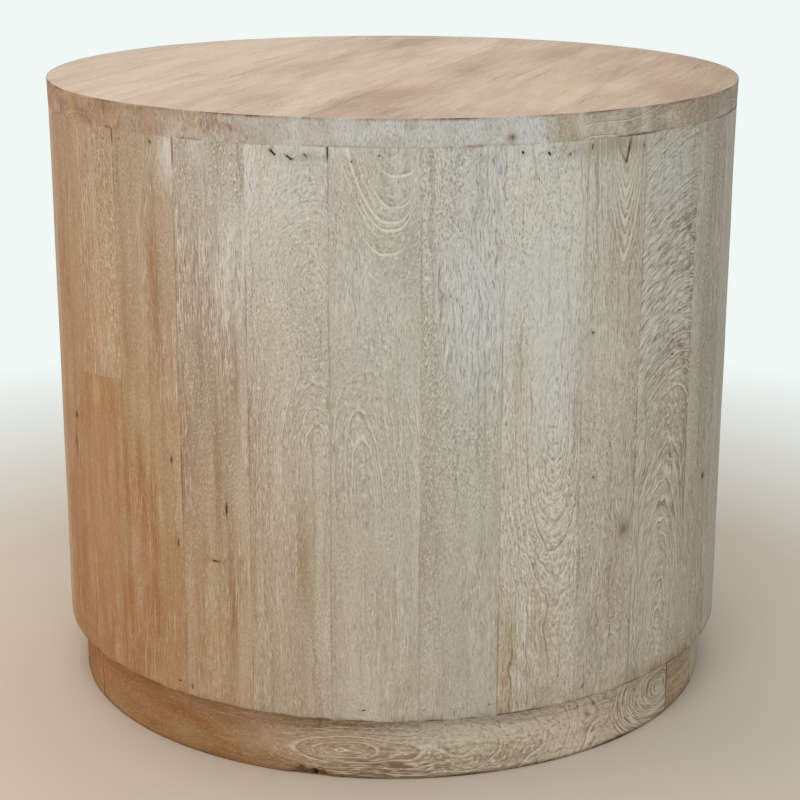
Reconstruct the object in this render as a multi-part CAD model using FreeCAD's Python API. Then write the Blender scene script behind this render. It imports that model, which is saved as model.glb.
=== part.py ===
"""Drum side table: coopered staves nailed round two former discs, a glued board top and a recessed plinth.

Millimetres and degrees. +Z is up, the origin is on the floor at the drum's axis, and the front faces -Y.
A heading is an angle seen from above, measured from the front towards +X.
"""

import FreeCAD, Part
import math
import os

# Overall size
overall_diameter = 508.0
overall_height = 457.0

# Top: boards glued edge to edge and cut round
top_thickness = 18.0
top_arris = 0.8  # small bevel round both edges of the rim
top_board_width = 70.6
top_joint_shift = -8.4  # of all board joints together, from even about the centre
top_board_heading = 19.0  # the boards run away from the front, turned this far to the right

# Staves: straight boards of uneven width with bevelled edges, flat inside and rounded outside
stave_thickness = 20.0
stave_setback = 0.5  # the staves' skin lies this far inside the rim of the top
stave_arris = 0.8  # bevel along the lower outer edge
stave_joint_headings = (
    4.1, 16.4, 29.7, 41.1, 55.2, 67.2, 80.3, 92.9, 106.2, 119.0, 131.7, 145.2, 157.8, 171.0,
    184.1, 196.7, 209.9, 222.6, 236.0, 248.7, 261.8, 274.6, 287.9, 300.7, 312.7, 325.8, 338.1, 350.75,
)
before_splice_count = 23  # the stave after these is pieced together from two lengths
splice_drop = 194.0  # middle of the splice, below the top of the table
splice_tilt = 7.0

# Former discs inside the two ends of the drum
former_thickness = 18.0

# Posts between the formers, one behind every seventh stave
post_count = 4
before_first_post_count = 3  # staves ahead of the one that the first post stands behind
post_width = 45.0
post_depth = 30.0
post_screw_spacing = 24.0
post_screw_inset = 12.0  # from the post's inner face

# Plinth: a ring of curved pieces under the drum, closed with a short filler
plinth_height = 48.0
plinth_recess = 11.0  # behind the rim of the top
plinth_width = 28.0  # radial width of the ring
plinth_arris = 0.8
plinth_joint_headings = (56.6, 69.4, 189.4, 296.6)

# Glue blocks in the corner between the plinth and the lower former
block_length = 70.0
block_height = 25.0
block_depth = 22.0
block_glue_line = 0.2
block_screw_spacing = 36.0

# Countersunk wood screws
screw_diameter = 4.0
screw_head_diameter = 8.0
screw_head_height = 2.4
screw_tip_length = 4.0
screw_clearance = 0.2  # round the shank in the piece that the head pulls down
screw_recess_width = 1.0
screw_recess_length = 4.4
screw_recess_depth = 1.4
top_screw_bite = 12.0  # length in the far piece
post_screw_bite = 17.0
block_rise_bite = 10.0  # up into the lower former
block_side_bite = 13.0  # sideways into the plinth
top_screw_place_share = 0.45  # of the half chord of the former under each board

# Brad nails through the staves' ends into the formers, heads sunk below the skin
nail_diameter = 1.6
nail_head_diameter = 2.2
nail_head_height = 0.8
nail_tip_length = 2.0
nail_set = 1.2
nail_bite = 11.2
nail_end_distance = 7.0  # from the stave's end to the line of nails

# Where the nails stand, as shares across each stave from its left edge, stave by stave
upper_nail_shares = (
    (0.68, 0.82), (0.21, 0.51, 0.75), (0.09, 0.92), (0.25, 0.70), (0.23, 0.73), (0.35, 0.81),
    (0.19, 0.58), (0.28, 0.70), (0.22, 0.78), (0.31, 0.66), (0.13, 0.52), (0.26, 0.80),
    (0.18, 0.69), (0.37, 0.77), (0.23, 0.62), (0.30, 0.84), (0.21, 0.71), (0.14, 0.55),
    (0.27, 0.76), (0.33, 0.68), (0.19, 0.79), (0.25, 0.64), (0.30, 0.73), (0.22, 0.78),
    (0.15, 0.44, 0.66), (0.08, 0.83), (0.36, 0.55, 0.73), (0.27, 0.55),
)
lower_nail_shares = (
    (0.09, 0.45, 0.87), (0.24, 0.70), (0.18, 0.56, 0.85), (0.19, 0.58), (0.30, 0.76), (0.21, 0.66),
    (0.27, 0.80), (0.34, 0.72), (0.16, 0.61), (0.29, 0.83), (0.14, 0.56), (0.20, 0.74),
    (0.36, 0.79), (0.23, 0.63), (0.31, 0.70), (0.18, 0.77), (0.26, 0.67), (0.11, 0.54),
    (0.33, 0.81), (0.22, 0.69), (0.28, 0.75), (0.19, 0.60), (0.32, 0.78), (0.25, 0.71),
    (0.13, 0.85), (0.10, 0.90), (0.42, 0.66), (0.37, 0.53),
)
nail_drift_shares = (0.06, -0.12, 0.10, 0.0, -0.07, 0.13, -0.04)  # of the former's thickness, up or down

# Allowance by which cutters run past what they cut
overrun = 5.0

# Worked out from the sizes above
top_radius = overall_diameter / 2
stave_radius = top_radius - stave_setback
flat_radius = stave_radius - stave_thickness
plinth_radius = top_radius - plinth_recess
plinth_inner_radius = plinth_radius - plinth_width
drum_bottom = plinth_height
drum_top = overall_height - top_thickness
stave_length = drum_top - drum_bottom
upper_former_bottom = drum_top - former_thickness
lower_former_top = drum_bottom + former_thickness
nail_length = stave_thickness - nail_set + nail_bite
screw_radius = screw_diameter / 2
screw_head_radius = screw_head_diameter / 2

Z_AXIS = FreeCAD.Vector(0, 0, 1)
ORIGIN = FreeCAD.Vector(0, 0, 0)


def vector(x, y, z):
    return FreeCAD.Vector(x, y, z)


def turned_to(shape, heading):
    """A copy of a shape made along +X, turned about the drum's axis to face a heading."""
    copy = shape.copy()
    copy.rotate(ORIGIN, Z_AXIS, heading - 90.0)
    return copy


def save(name, shapes):
    """Writes one node: a single solid, or a group of like solids."""
    shape = shapes[0] if len(shapes) == 1 else Part.makeCompound(shapes)
    shape.exportStep(os.path.join("parts", name + ".step"))
    print(name, len(shape.Solids), round(shape.Volume))


# Fasteners


def screw_body(length, clearance):
    """A countersunk screw's outer form, head at the origin and pointing along +Z."""
    head = Part.makeCone(screw_head_radius + clearance, screw_radius + clearance, screw_head_height)
    shank_length = length - screw_head_height - screw_tip_length
    shank = Part.makeCylinder(screw_radius + clearance, shank_length, vector(0, 0, screw_head_height))
    tip = Part.makeCone(screw_radius + clearance, 0, screw_tip_length, vector(0, 0, length - screw_tip_length))
    return head.fuse([shank, tip]).removeSplitter()


def screw(length):
    """A screw with a cross recess in its head."""
    half_length, half_width = screw_recess_length / 2, screw_recess_width / 2
    slots = [
        Part.makeBox(2 * a, 2 * b, screw_recess_depth, vector(-a, -b, 0))
        for a, b in ((half_length, half_width), (half_width, half_length))
    ]
    return screw_body(length, 0).cut(slots)


def set_screw_at(shape, point, direction):
    """Moves a screw made along +Z so that its head lies at a point and it runs in a direction."""
    shape.Placement = FreeCAD.Placement(point, FreeCAD.Rotation(Z_AXIS, direction))
    return shape


class Screws:
    """Screws of one length: the solids, and cutters for the near and the far piece."""

    def __init__(self, length, places):
        self.solids = [set_screw_at(screw(length), *place) for place in places]
        self.near = [set_screw_at(screw_body(length, screw_clearance), *place) for place in places]
        self.far = [set_screw_at(screw_body(length, 0), *place) for place in places]


def nail(offset, height):
    """A brad driven inwards along -X, with its sunk head under the stave's round skin."""
    skin = math.sqrt(stave_radius**2 - offset**2)
    start = vector(skin - nail_set, offset, height)
    inwards = vector(-1, 0, 0)
    tip_radius = nail_diameter / 2
    head = Part.makeCylinder(nail_head_diameter / 2, nail_head_height, start, inwards)
    shank_length = nail_length - nail_tip_length
    shank = Part.makeCylinder(tip_radius, shank_length, start, inwards)
    tip = Part.makeCone(tip_radius, 0, nail_tip_length, start + inwards * shank_length, inwards)
    return head.fuse([shank, tip]).removeSplitter()


def nail_mouth(offset, height):
    """The hole that the nail punch leaves between the head and the skin."""
    skin = math.sqrt(stave_radius**2 - offset**2)
    start = vector(skin - nail_set, offset, height)
    return Part.makeCylinder(nail_head_diameter / 2, nail_set + overrun, start, vector(1, 0, 0))


def nail_places(shares, line_height):
    """For each stave, the offsets across it and the heights of its nails at one end."""
    places = []
    count = 0
    for half_width, row in zip(stave_half_widths(), shares):
        chord = 2 * stave_radius * math.sin(half_width)
        stave_places = []
        for share in row:
            drift = nail_drift_shares[count % len(nail_drift_shares)] * former_thickness
            stave_places.append(((share - 0.5) * chord, line_height + drift))
            count += 1
        places.append(stave_places)
    return places


# Headings and places that several pieces share


def spans_between(headings):
    """Start and end headings of the pieces between joints that go once round."""
    return list(zip(headings, headings[1:] + (headings[0] + 360.0,)))


def stave_middles():
    """Headings of the middles of the staves."""
    return [(start + end) / 2 for start, end in spans_between(stave_joint_headings)]


def stave_half_widths():
    """Half of the angle that each stave takes up, in radians."""
    return [math.radians((end - start) / 2) for start, end in spans_between(stave_joint_headings)]


def post_headings():
    step = len(stave_joint_headings) // post_count
    return [stave_middles()[before_first_post_count + step * i] for i in range(post_count)]


def block_headings():
    """A block behind the filler, behind each long piece's middle and behind each other joint."""
    middles = [(start + end) / 2 for start, end in spans_between(plinth_joint_headings)]
    return sorted(middles + list(plinth_joint_headings[2:]))


def top_board_edges():
    """Distances of each board's edges from the centre line. The outer boards take what is left."""
    board_count = math.floor(overall_diameter / top_board_width)
    first_joint = top_joint_shift - top_board_width * (board_count - 2) / 2
    joints = [first_joint + i * top_board_width for i in range(board_count - 1)]
    edges = [-top_radius] + joints + [top_radius]
    return list(zip(edges[:-1], edges[1:]))


# Where the screws stand


def top_screw_places():
    """Two upward screws under each board, on the middle line of its stretch over the former."""
    run = math.radians(top_board_heading)
    across = vector(math.cos(run), -math.sin(run), 0)
    along = vector(math.sin(run), math.cos(run), 0)
    places = []
    for left, right in top_board_edges():
        middle = (max(left, -flat_radius) + min(right, flat_radius)) / 2
        reach = math.sqrt(flat_radius**2 - middle**2) * top_screw_place_share
        for side in (-1, 1):
            point = across * middle + along * (side * reach) + vector(0, 0, upper_former_bottom)
            places.append((point, Z_AXIS))
    return places


def post_screw_places(height, direction):
    """Two screws through a former into each post's end."""
    distance = flat_radius - post_depth + post_screw_inset
    places = []
    for heading in post_headings():
        turn = math.radians(heading)
        outwards = vector(math.sin(turn), -math.cos(turn), 0)
        sideways = vector(math.cos(turn), math.sin(turn), 0)
        for side in (-1, 1):
            point = outwards * distance + sideways * (side * post_screw_spacing / 2) + vector(0, 0, height)
            places.append((point, direction))
    return places


def block_screw_places():
    """For each block, one screw up into the former and one sideways into the plinth."""
    rising, sideways_in = [], []
    inner_face = plinth_inner_radius - block_depth
    for heading in block_headings():
        turn = math.radians(heading)
        outwards = vector(math.sin(turn), -math.cos(turn), 0)
        along = vector(math.cos(turn), math.sin(turn), 0) * (block_screw_spacing / 2)
        under = outwards * (inner_face + block_depth / 2) + along + vector(0, 0, drum_bottom - block_height)
        inside = outwards * inner_face - along + vector(0, 0, drum_bottom - block_height / 2)
        rising.append((under, Z_AXIS))
        sideways_in.append((inside, outwards))
    return rising, sideways_in


# Wooden pieces


def top_boards(screws):
    """The round top, cut along its board joints."""
    low, high = drum_top, overall_height
    shoulder = top_radius - top_arris
    outline = [
        vector(0, 0, low),
        vector(shoulder, 0, low),
        vector(top_radius, 0, low + top_arris),
        vector(top_radius, 0, high - top_arris),
        vector(shoulder, 0, high),
        vector(0, 0, high),
        vector(0, 0, low),
    ]
    disc = Part.Face(Part.makePolygon(outline)).revolve(ORIGIN, Z_AXIS, 360)
    span = 2 * (top_radius + overrun)
    boards = []
    for left, right in top_board_edges():
        slab = Part.makeBox(right - left, span, top_thickness, vector(left, -span / 2, drum_top))
        slab.rotate(ORIGIN, Z_AXIS, -top_board_heading)
        boards.append(disc.common(slab).cut(screws.far))
    return boards


def former(bottom, cutters):
    """A disc with one flat edge for each stave, its corners where neighbouring flats meet."""
    corners = []
    for here, after in spans_between(tuple(stave_middles())):
        corner_radius = flat_radius / math.cos(math.radians(after - here) / 2)
        turn = math.radians(here + after) / 2
        corners.append(vector(corner_radius * math.sin(turn), -corner_radius * math.cos(turn), bottom))
    disc = Part.Face(Part.makePolygon(corners + corners[:1])).extrude(vector(0, 0, former_thickness))
    return disc.cut(cutters)


def stave_blank(half_width):
    """One stave along +X: flat inside, bevelled to its neighbours and round outside."""
    cosine, sine, tangent = math.cos(half_width), math.sin(half_width), math.tan(half_width)
    inner_right = vector(flat_radius, -flat_radius * tangent, drum_bottom)
    outer_right = vector(stave_radius * cosine, -stave_radius * sine, drum_bottom)
    outer_middle = vector(stave_radius, 0, drum_bottom)
    outer_left = vector(stave_radius * cosine, stave_radius * sine, drum_bottom)
    inner_left = vector(flat_radius, flat_radius * tangent, drum_bottom)
    edges = [
        Part.LineSegment(inner_right, outer_right).toShape(),
        Part.Arc(outer_right, outer_middle, outer_left).toShape(),
        Part.LineSegment(outer_left, inner_left).toShape(),
        Part.LineSegment(inner_left, inner_right).toShape(),
    ]
    blank = Part.Face(Part.Wire(edges)).extrude(vector(0, 0, stave_length))
    lower_edges = [e for e in blank.Edges if e.BoundBox.ZMax < drum_bottom + stave_arris]
    skin_edge = max(lower_edges, key=lambda e: e.BoundBox.XMin)
    return blank.makeChamfer(stave_arris, [skin_edge])


def splice_halves(stave):
    """Cuts a stave along +X in two at a slightly tilted butt joint."""
    height = overall_height - splice_drop
    span = 2 * (stave_radius + overrun)
    half = Part.makeBox(span, span, overall_height, vector(0, -span / 2, height))
    half.rotate(vector(0, 0, height), vector(1, 0, 0), splice_tilt)
    return {"upper": stave.common(half), "lower": stave.cut(half)}


def staves(upper_places, lower_places):
    """Every stave with its nail holes, and the nails, each turned to its heading."""
    solids, upper_nails, lower_nails = {}, [], []
    for i, heading in enumerate(stave_middles()):
        upper = [nail(*place) for place in upper_places[i]]
        lower = [nail(*place) for place in lower_places[i]]
        mouths = [nail_mouth(*place) for place in upper_places[i] + lower_places[i]]
        stave = stave_blank(stave_half_widths()[i]).cut(upper + lower + mouths)
        name = f"stave_{i + 1:02d}"
        pieces = {name: stave}
        if i == before_splice_count:
            pieces = {f"{name}_{end}": half for end, half in splice_halves(stave).items()}
        for piece_name, piece in pieces.items():
            solids[piece_name] = turned_to(piece, heading)
        upper_nails += [turned_to(n, heading) for n in upper]
        lower_nails += [turned_to(n, heading) for n in lower]
    return solids, upper_nails, lower_nails


def posts(cutters):
    """Upright battens against the staves' flat backs, from former to former."""
    length = upper_former_bottom - lower_former_top
    blank = Part.makeBox(
        post_depth,
        post_width,
        length,
        vector(flat_radius - post_depth, -post_width / 2, lower_former_top),
    )
    return [turned_to(blank, heading).cut(cutters) for heading in post_headings()]


def plinth_piece(start, end):
    """A length of the plinth ring between two headings."""
    low, high = 0, drum_bottom
    outline = [
        vector(plinth_inner_radius, 0, low),
        vector(plinth_radius - plinth_arris, 0, low),
        vector(plinth_radius, 0, low + plinth_arris),
        vector(plinth_radius, 0, high),
        vector(plinth_inner_radius, 0, high),
        vector(plinth_inner_radius, 0, low),
    ]
    piece = Part.Face(Part.makePolygon(outline)).revolve(ORIGIN, Z_AXIS, end - start)
    return turned_to(piece, start)


def blocks(cutters):
    """Glue blocks sawn to the plinth's inner curve."""
    inner_face = plinth_inner_radius - block_depth
    bottom = drum_bottom - block_height
    stock = Part.makeBox(
        block_depth + overrun, block_length, block_height, vector(inner_face, -block_length / 2, bottom)
    )
    curve = Part.makeCylinder(plinth_inner_radius - block_glue_line, block_height, vector(0, 0, bottom))
    blank = stock.common(curve)
    return [turned_to(blank, heading).cut(cutters) for heading in block_headings()]


def main():
    os.makedirs("parts", exist_ok=True)

    upper_places = nail_places(upper_nail_shares, drum_top - nail_end_distance)
    lower_places = nail_places(lower_nail_shares, drum_bottom + nail_end_distance)
    stave_solids, upper_nails, lower_nails = staves(upper_places, lower_places)

    down = vector(0, 0, -1)
    top_screws = Screws(former_thickness + top_screw_bite, top_screw_places())
    post_length = former_thickness + post_screw_bite
    post_upper_screws = Screws(post_length, post_screw_places(drum_top, down))
    post_lower_screws = Screws(post_length, post_screw_places(drum_bottom, Z_AXIS))
    rising_places, side_places = block_screw_places()
    rising_screws = Screws(block_height + block_rise_bite, rising_places)
    side_screws = Screws(block_depth + block_side_bite, side_places)

    for i, board in enumerate(top_boards(top_screws)):
        save(f"top_board_{i + 1}", [board])

    upper_cutters = upper_nails + top_screws.near + post_upper_screws.near
    lower_cutters = lower_nails + post_lower_screws.near + rising_screws.far
    save("upper_former", [former(upper_former_bottom, upper_cutters)])
    save("lower_former", [former(drum_bottom, lower_cutters)])

    for name, stave in stave_solids.items():
        save(name, [stave])
    save("upper_stave_nails", upper_nails)
    save("lower_stave_nails", lower_nails)

    for i, post in enumerate(posts(post_upper_screws.far + post_lower_screws.far)):
        save(f"post_{i + 1}", [post])

    plinth_spans = spans_between(plinth_joint_headings)
    filler, *long_pieces = [plinth_piece(*span).cut(side_screws.far) for span in plinth_spans]
    save("plinth_filler", [filler])
    for i, piece in enumerate(long_pieces):
        save(f"plinth_segment_{i + 1}", [piece])
    for i, block in enumerate(blocks(rising_screws.near + side_screws.near)):
        save(f"plinth_block_{i + 1}", [block])

    save("top_screws", top_screws.solids)
    save("post_screws", post_upper_screws.solids + post_lower_screws.solids)
    save("block_screws", rising_screws.solids + side_screws.solids)


main()
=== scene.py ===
"""Drum side table: washed staves round a drum, a boarded top over them and a recessed plinth below."""
import math

import bpy
import numpy as np
from bpy.props import FloatProperty, FloatVectorProperty, PointerProperty
from mathutils import Matrix, Vector


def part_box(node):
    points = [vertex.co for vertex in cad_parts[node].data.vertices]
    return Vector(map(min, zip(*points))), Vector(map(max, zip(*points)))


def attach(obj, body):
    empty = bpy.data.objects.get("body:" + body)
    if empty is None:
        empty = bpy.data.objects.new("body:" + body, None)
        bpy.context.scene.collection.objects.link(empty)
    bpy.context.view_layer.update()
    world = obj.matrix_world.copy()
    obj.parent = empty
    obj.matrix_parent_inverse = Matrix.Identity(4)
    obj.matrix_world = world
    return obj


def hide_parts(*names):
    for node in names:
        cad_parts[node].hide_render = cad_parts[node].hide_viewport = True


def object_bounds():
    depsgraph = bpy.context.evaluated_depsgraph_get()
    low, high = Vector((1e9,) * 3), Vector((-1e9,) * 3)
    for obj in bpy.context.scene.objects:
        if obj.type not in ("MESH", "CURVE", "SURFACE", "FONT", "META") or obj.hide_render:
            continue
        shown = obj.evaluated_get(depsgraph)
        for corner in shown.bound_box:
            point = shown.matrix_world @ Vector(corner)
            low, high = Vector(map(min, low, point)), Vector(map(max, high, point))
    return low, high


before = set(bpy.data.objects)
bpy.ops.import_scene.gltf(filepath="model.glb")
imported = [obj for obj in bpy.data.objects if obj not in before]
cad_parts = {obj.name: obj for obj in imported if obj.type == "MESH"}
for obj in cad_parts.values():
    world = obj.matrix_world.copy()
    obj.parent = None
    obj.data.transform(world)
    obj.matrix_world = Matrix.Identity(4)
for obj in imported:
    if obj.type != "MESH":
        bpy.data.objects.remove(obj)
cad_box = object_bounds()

bl_info = {
    "name": "Washed Drum Table",
    "version": (1, 0, 0),
    "blender": (4, 5, 0),
    "location": "View3D > Sidebar > Drum Table",
    "description": "Dresses the drum side table with washed, grained boards",
    "category": "Object",
}

# The figure of the wood, stave by stave, as three lines of places and values: the pith's offset from the
# middle of the stave, its depth behind the face and how boldly the growth rings show. Places are millimetres
# below the table's top, and offsets and depths are millimetres too.
STAVE_FIGURES = {
    "stave_28": (
        ((0, 9), (70, 9), (110, 6), (180, -10), (440, 4)),
        ((0, 1), (30, 10), (60, 21), (95, 32), (130, 34), (170, 15), (205, 9), (255, 1), (300, 8), (440, 24)),
        ((0, 0.55), (80, 0.55), (110, 0.3), (170, 0.45), (195, 0.8), (255, 0.7), (280, 0.25), (440, 0.15)),
    ),
    "stave_01": (
        ((0, -34), (200, -28), (440, -38)),
        ((0, 24), (220, 15), (440, 28)),
        ((0, 0.15), (220, 0.2), (300, 0.35), (440, 0.3)),
    ),
    "stave_02": (
        ((0, 4), (120, 7), (240, 10), (330, 13), (440, 3)),
        ((0, 14), (70, 6), (150, 3), (200, 3), (235, 9), (270, 17), (310, 26), (340, 31), (440, 31)),
        ((0, 0.2), (150, 0.45), (205, 0.8), (275, 0.95), (320, 0.75), (360, 0.45), (440, 0.3)),
    ),
    "stave_03": (
        ((0, 8), (110, 8.5), (200, 4), (330, 8), (440, 9)),
        ((0, 0), (20, 1), (60, 7), (100, 13), (118, 17), (200, 23), (300, 25), (335, 20), (370, 7), (440, 1)),
        ((0, 0.7), (100, 0.75), (125, 0.35), (320, 0.3), (345, 0.6), (440, 0.5)),
    ),
    "stave_04": (
        ((0, 42), (90, 38), (150, 22), (215, 8), (280, -2), (440, 3)),
        ((0, 165), (75, 120), (150, 75), (200, 46), (270, 28), (340, 11), (400, 4), (440, 3)),
        ((0, 0.95), (60, 1.05), (110, 1.2), (180, 1.15), (215, 0.9), (245, 1.1), (360, 1.0), (440, 0.6)),
    ),
    "stave_05": (
        ((0, 30), (250, 22), (440, 34)),
        ((0, 16), (270, 24), (440, 18)),
        ((0, 0.2), (440, 0.25)),
    ),
    "stave_23": (
        ((0, -26), (250, -18), (440, -30)),
        ((0, 22), (240, 12), (300, 24), (440, 20)),
        ((0, 0.25), (240, 0.45), (440, 0.25)),
    ),
    "stave_24_upper": (
        ((0, 8), (120, 20), (200, 30)),
        ((0, 12), (200, 16)),
        ((0, 0.5), (120, 0.6), (200, 0.4)),
    ),
    "stave_24_lower": (
        ((190, -4), (440, -6)),
        ((190, 26), (320, 16), (440, 6)),
        ((190, 0.2), (440, 0.35)),
    ),
    "stave_25": (
        ((0, 34), (200, 28), (440, 38)),
        ((0, 20), (440, 26)),
        ((0, 0.2), (440, 0.3)),
    ),
    "stave_26": (
        ((0, -30), (200, -22), (440, -34)),
        ((0, 14), (260, 9), (440, 18)),
        ((0, 0.35), (440, 0.35)),
    ),
    "stave_27": (
        ((0, 18), (80, 16), (130, 20), (205, 19), (300, 16), (440, 20)),
        (
            (0, 44), (50, 30), (80, 15), (105, 5), (130, 10), (165, 21), (195, 9), (215, 3), (300, 8),
            (440, 24),
        ),
        ((0, 0.3), (50, 0.55), (100, 0.6), (130, 0.3), (175, 0.6), (205, 0.75), (240, 0.35), (440, 0.2)),
    ),
}
# How dark, how brown and how strongly grained a stave is, at its head and at its foot.
# The brown and the dark of stave_20 to stave_26, at the left, are partly the wood's own and partly painted
# warm light and shade, as a lamp at the left gives.
STAVE_TONES = {
    "stave_01": ((0.26, 0.00, 1.35), (0.17, 0.25, 0.80)),
    "stave_02": ((-0.46, 0.00, 2.00), (-0.36, 0.48, 1.85)),
    "stave_03": ((-0.25, 0.22, 1.60), (0.12, 0.36, 1.35)),
    "stave_04": ((0.22, 0.10, 1.45), (0.10, 0.38, 1.40)),
    "stave_05": ((0.72, 0.25, 1.50), (0.38, 0.38, 1.20)),
    "stave_20": ((0.52, 0.22, 0.90), (0.56, 0.32, 0.85)),
    "stave_21": ((0.56, 0.42, 0.90), (0.62, 0.52, 0.80)),
    "stave_22": ((0.62, 0.66, 0.90), (0.70, 0.80, 0.75)),
    "stave_23": ((0.80, 0.78, 0.70), (0.90, 1.00, 0.55)),
    "stave_24_upper": ((0.62, 0.64, 1.35), (0.74, 0.90, 0.90)),
    "stave_24_lower": ((0.74, 0.92, 0.75), (0.85, 1.00, 0.65)),
    "stave_25": ((0.84, 0.52, 0.80), (0.74, 0.98, 0.70)),
    "stave_26": ((0.96, 0.14, 1.35), (0.50, 0.74, 0.75)),
    "stave_27": ((0.23, 0.00, 1.40), (0.50, 0.41, 0.85)),
    "stave_28": ((0.42, 0.02, 1.25), (0.20, 0.26, 0.70)),
}
# Bold white arcs near the head of a stave: millimetres below the top at the lowest point, then how far the
# arc shows to the left and to the right of it, in millimetres, and how strongly.
HEAD_ARCS = {
    "stave_03": (
        (46, 6, 5, 0.6), (55, 7, 6, 0.8), (64, 8, 7, 0.7), (75, 9, 8, 0.8), (86, 9, 10, 0.6),
        (99, 13, 13, 1.0), (113, 11, 10, 0.4),
    ),
    "stave_28": (
        (36, 5, 12, 1.0), (56, 13, 34, 0.9), (60.5, 60, -8, 0.5), (65.5, 44, 44, 1.0), (70.5, 16, 18, 1.0),
        (76, 44, -4, 0.6), (86, 10, 12, 0.8), (104, 8, -1, 0.5),
    ),
}
# Where those arcs hang, in millimetres across the stave, how far that drifts above and below, how high a line
# is, then how far an arc rises, over which width and with which power of it, to the right and to the left.
ARC_SHAPES = {
    "stave_03": (7.0, 0, 0, 4.2, (36, 11, 1.5), (36, 11, 1.5)),
    "stave_28": (7.0, 5, -2, 1.5, (8, 15, 3.9), (13, 13, 1.8)),
}
# Smears of pale wash: heading in degrees, millimetres below the top, half width in degrees, half height in
# millimetres and strength, which is below nothing where the wash is rubbed off.
WASH_SMEARS = (
    (9.0, 40, 5.0, 45, 0.9), (14.5, 70, 4.0, 55, 1.0), (19.0, 60, 5.0, 60, 1.0), (24.5, 100, 3.2, 60, 0.95),
    (25.5, 175, 3.0, 50, 0.7), (12.0, 130, 4.5, 60, 0.7), (20.0, 12, 6.0, 16, 0.9),
    (10.0, 230, 5.0, 60, 0.35), (21.5, 55, 3.5, 45, 0.5), (-35.0, 28, 2.2, 18, 0.9),
    (-31.0, 20, 3.0, 14, 0.4), (-27.0, 40, 5.0, 40, 0.3), (-18.0, 60, 6.0, 50, 0.6),
    (-11.5, 26, 2.0, 10, 0.7), (-9.0, 8, 6.0, 12, 2.0), (-26.0, 8, 6.0, 8, -0.9), (-24.0, 90, 3.0, 50, 0.4),
    (-6.0, 150, 4.0, 70, 0.35), (1.0, 120, 3.5, 80, 0.3), (23.5, 150, 1.2, 30, 0.6),
    (21.5, 185, 1.2, 25, 0.5), (47.0, 40, 5.0, 24, 0.2), (50.0, 100, 4.0, 60, 0.35),
    (61.0, 60, 5.0, 40, 0.3), (33.0, 60, 2.0, 30, 0.3), (150.0, 60, 8.0, 60, 0.5),
    (215.0, 160, 6.0, 80, 0.45), (-110.0, 80, 6.0, 60, 0.4), (100.0, 260, 5.0, 70, 0.35),
)
# Knots and slits in the staves: heading in degrees, millimetres below the top, half width and half height in
# millimetres and how dark the core is.
KNOTS = (
    (-64.0, 234, 5.0, 5.0, 0.7), (-64.8, 256, 3.0, 16.0, 0.5), (39.0, 290, 9.0, 8.0, 0.22),
    (63.0, 279, 5.0, 4.5, 0.6), (-26.0, 265, 1.5, 10.0, 0.9), (-36.2, 238, 1.8, 4.5, 0.7),
    (-35.3, 297, 1.4, 6.0, 0.8), (-28.2, 304, 5.5, 1.5, 0.7), (31.5, 146, 1.7, 1.7, 0.6),
    (32.3, 247, 1.6, 1.6, 0.6), (125.0, 150, 5.0, 4.0, 0.5), (206.0, 310, 6.0, 5.0, 0.5),
)
# Long soft streaks of browner wood in the staves, set out as the smears of wash are.
BROWN_STREAKS = (
    (-38.7, 118, 1.1, 45, 0.6), (-23.8, 180, 0.7, 45, 0.5), (-45.5, 150, 0.8, 70, 0.4),
    (-43.2, 250, 0.9, 80, 0.4), (-55.5, 120, 1.0, 60, 0.3), (-40.5, 330, 0.8, 50, 0.5),
    (-46.9, 300, 0.5, 70, 0.7), (-27.5, 240, 0.6, 60, 0.5), (-25.4, 320, 0.6, 50, 0.35),
    (-31.0, 330, 1.2, 50, 0.3), (-21.3, 318, 0.4, 40, 0.7), (-13.2, 290, 1.0, 50, 0.6),
    (2.5, 60, 1.0, 50, 0.3), (29.0, 130, 0.8, 60, 0.4), (31.2, 210, 0.8, 80, 0.4),
    (15.5, 260, 0.6, 50, 0.3), (22.0, 330, 0.7, 60, 0.3), (110.0, 150, 1.0, 60, 0.4),
    (170.0, 260, 1.0, 60, 0.4), (-130.0, 200, 1.0, 60, 0.4), (50.0, 408, 10.0, 9, 1.0),
    (17.6, 372, 1.2, 40, 0.6), (24.5, 355, 2.0, 45, 0.35), (37.0, 72, 2.2, 36, 0.6),
    (18.6, 160, 1.4, 70, 0.5),
)
# Marks of the nails: heading in degrees, then half length in millimetres, slant in degrees and how open the
# hole is. All other nails are filled over.
UPPER_MARKS = (
    (-56.7, 0.0, 0, 0.35), (-49.9, 0.0, 0, 0.4), (-45.3, 0.3, 90, 0.5), (-41.5, 0.0, 0, 0.3),
    (-38.7, 0.7, -50, 0.9), (-33.2, 0.0, 0, 0.5), (-24.0, 0.0, 0, 0.5), (-17.3, 2.4, -42, 1.0),
    (-14.9, 1.5, -38, 0.9), (-12.7, 0.9, -45, 0.7), (-5.6, 0.2, 60, 0.7), (-1.9, 0.3, -40, 0.7),
    (12.5, 0.3, 90, 0.4), (14.2, 0.8, 85, 0.5), (19.2, 0.5, -60, 0.9), (23.2, 0.8, -50, 0.95),
    (26.4, 0.4, 60, 0.7), (30.7, 1.3, 86, 0.8), (40.2, 0.5, 75, 0.7), (44.6, 0.6, -60, 0.6),
    (51.0, 0.0, 0, 0.25), (58.0, 0.5, 30, 0.35), (64.0, 0.0, 0, 0.2),
)
LOWER_MARKS = (
    (-36.2, 0.5, 20, 0.8), (-33.0, 1.1, 88, 0.7), (-16.6, 0.2, 0, 0.35), (-4.3, 0.7, 8, 0.7),
    (-2.2, 0.3, 0, 0.3), (5.2, 0.6, 30, 0.4), (9.6, 0.9, 85, 0.55), (14.8, 0.3, 0, 0.45),
    (31.8, 1.2, 60, 0.75), (36.1, 1.3, 82, 0.4), (39.4, 0.8, 25, 0.5),
)
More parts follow.
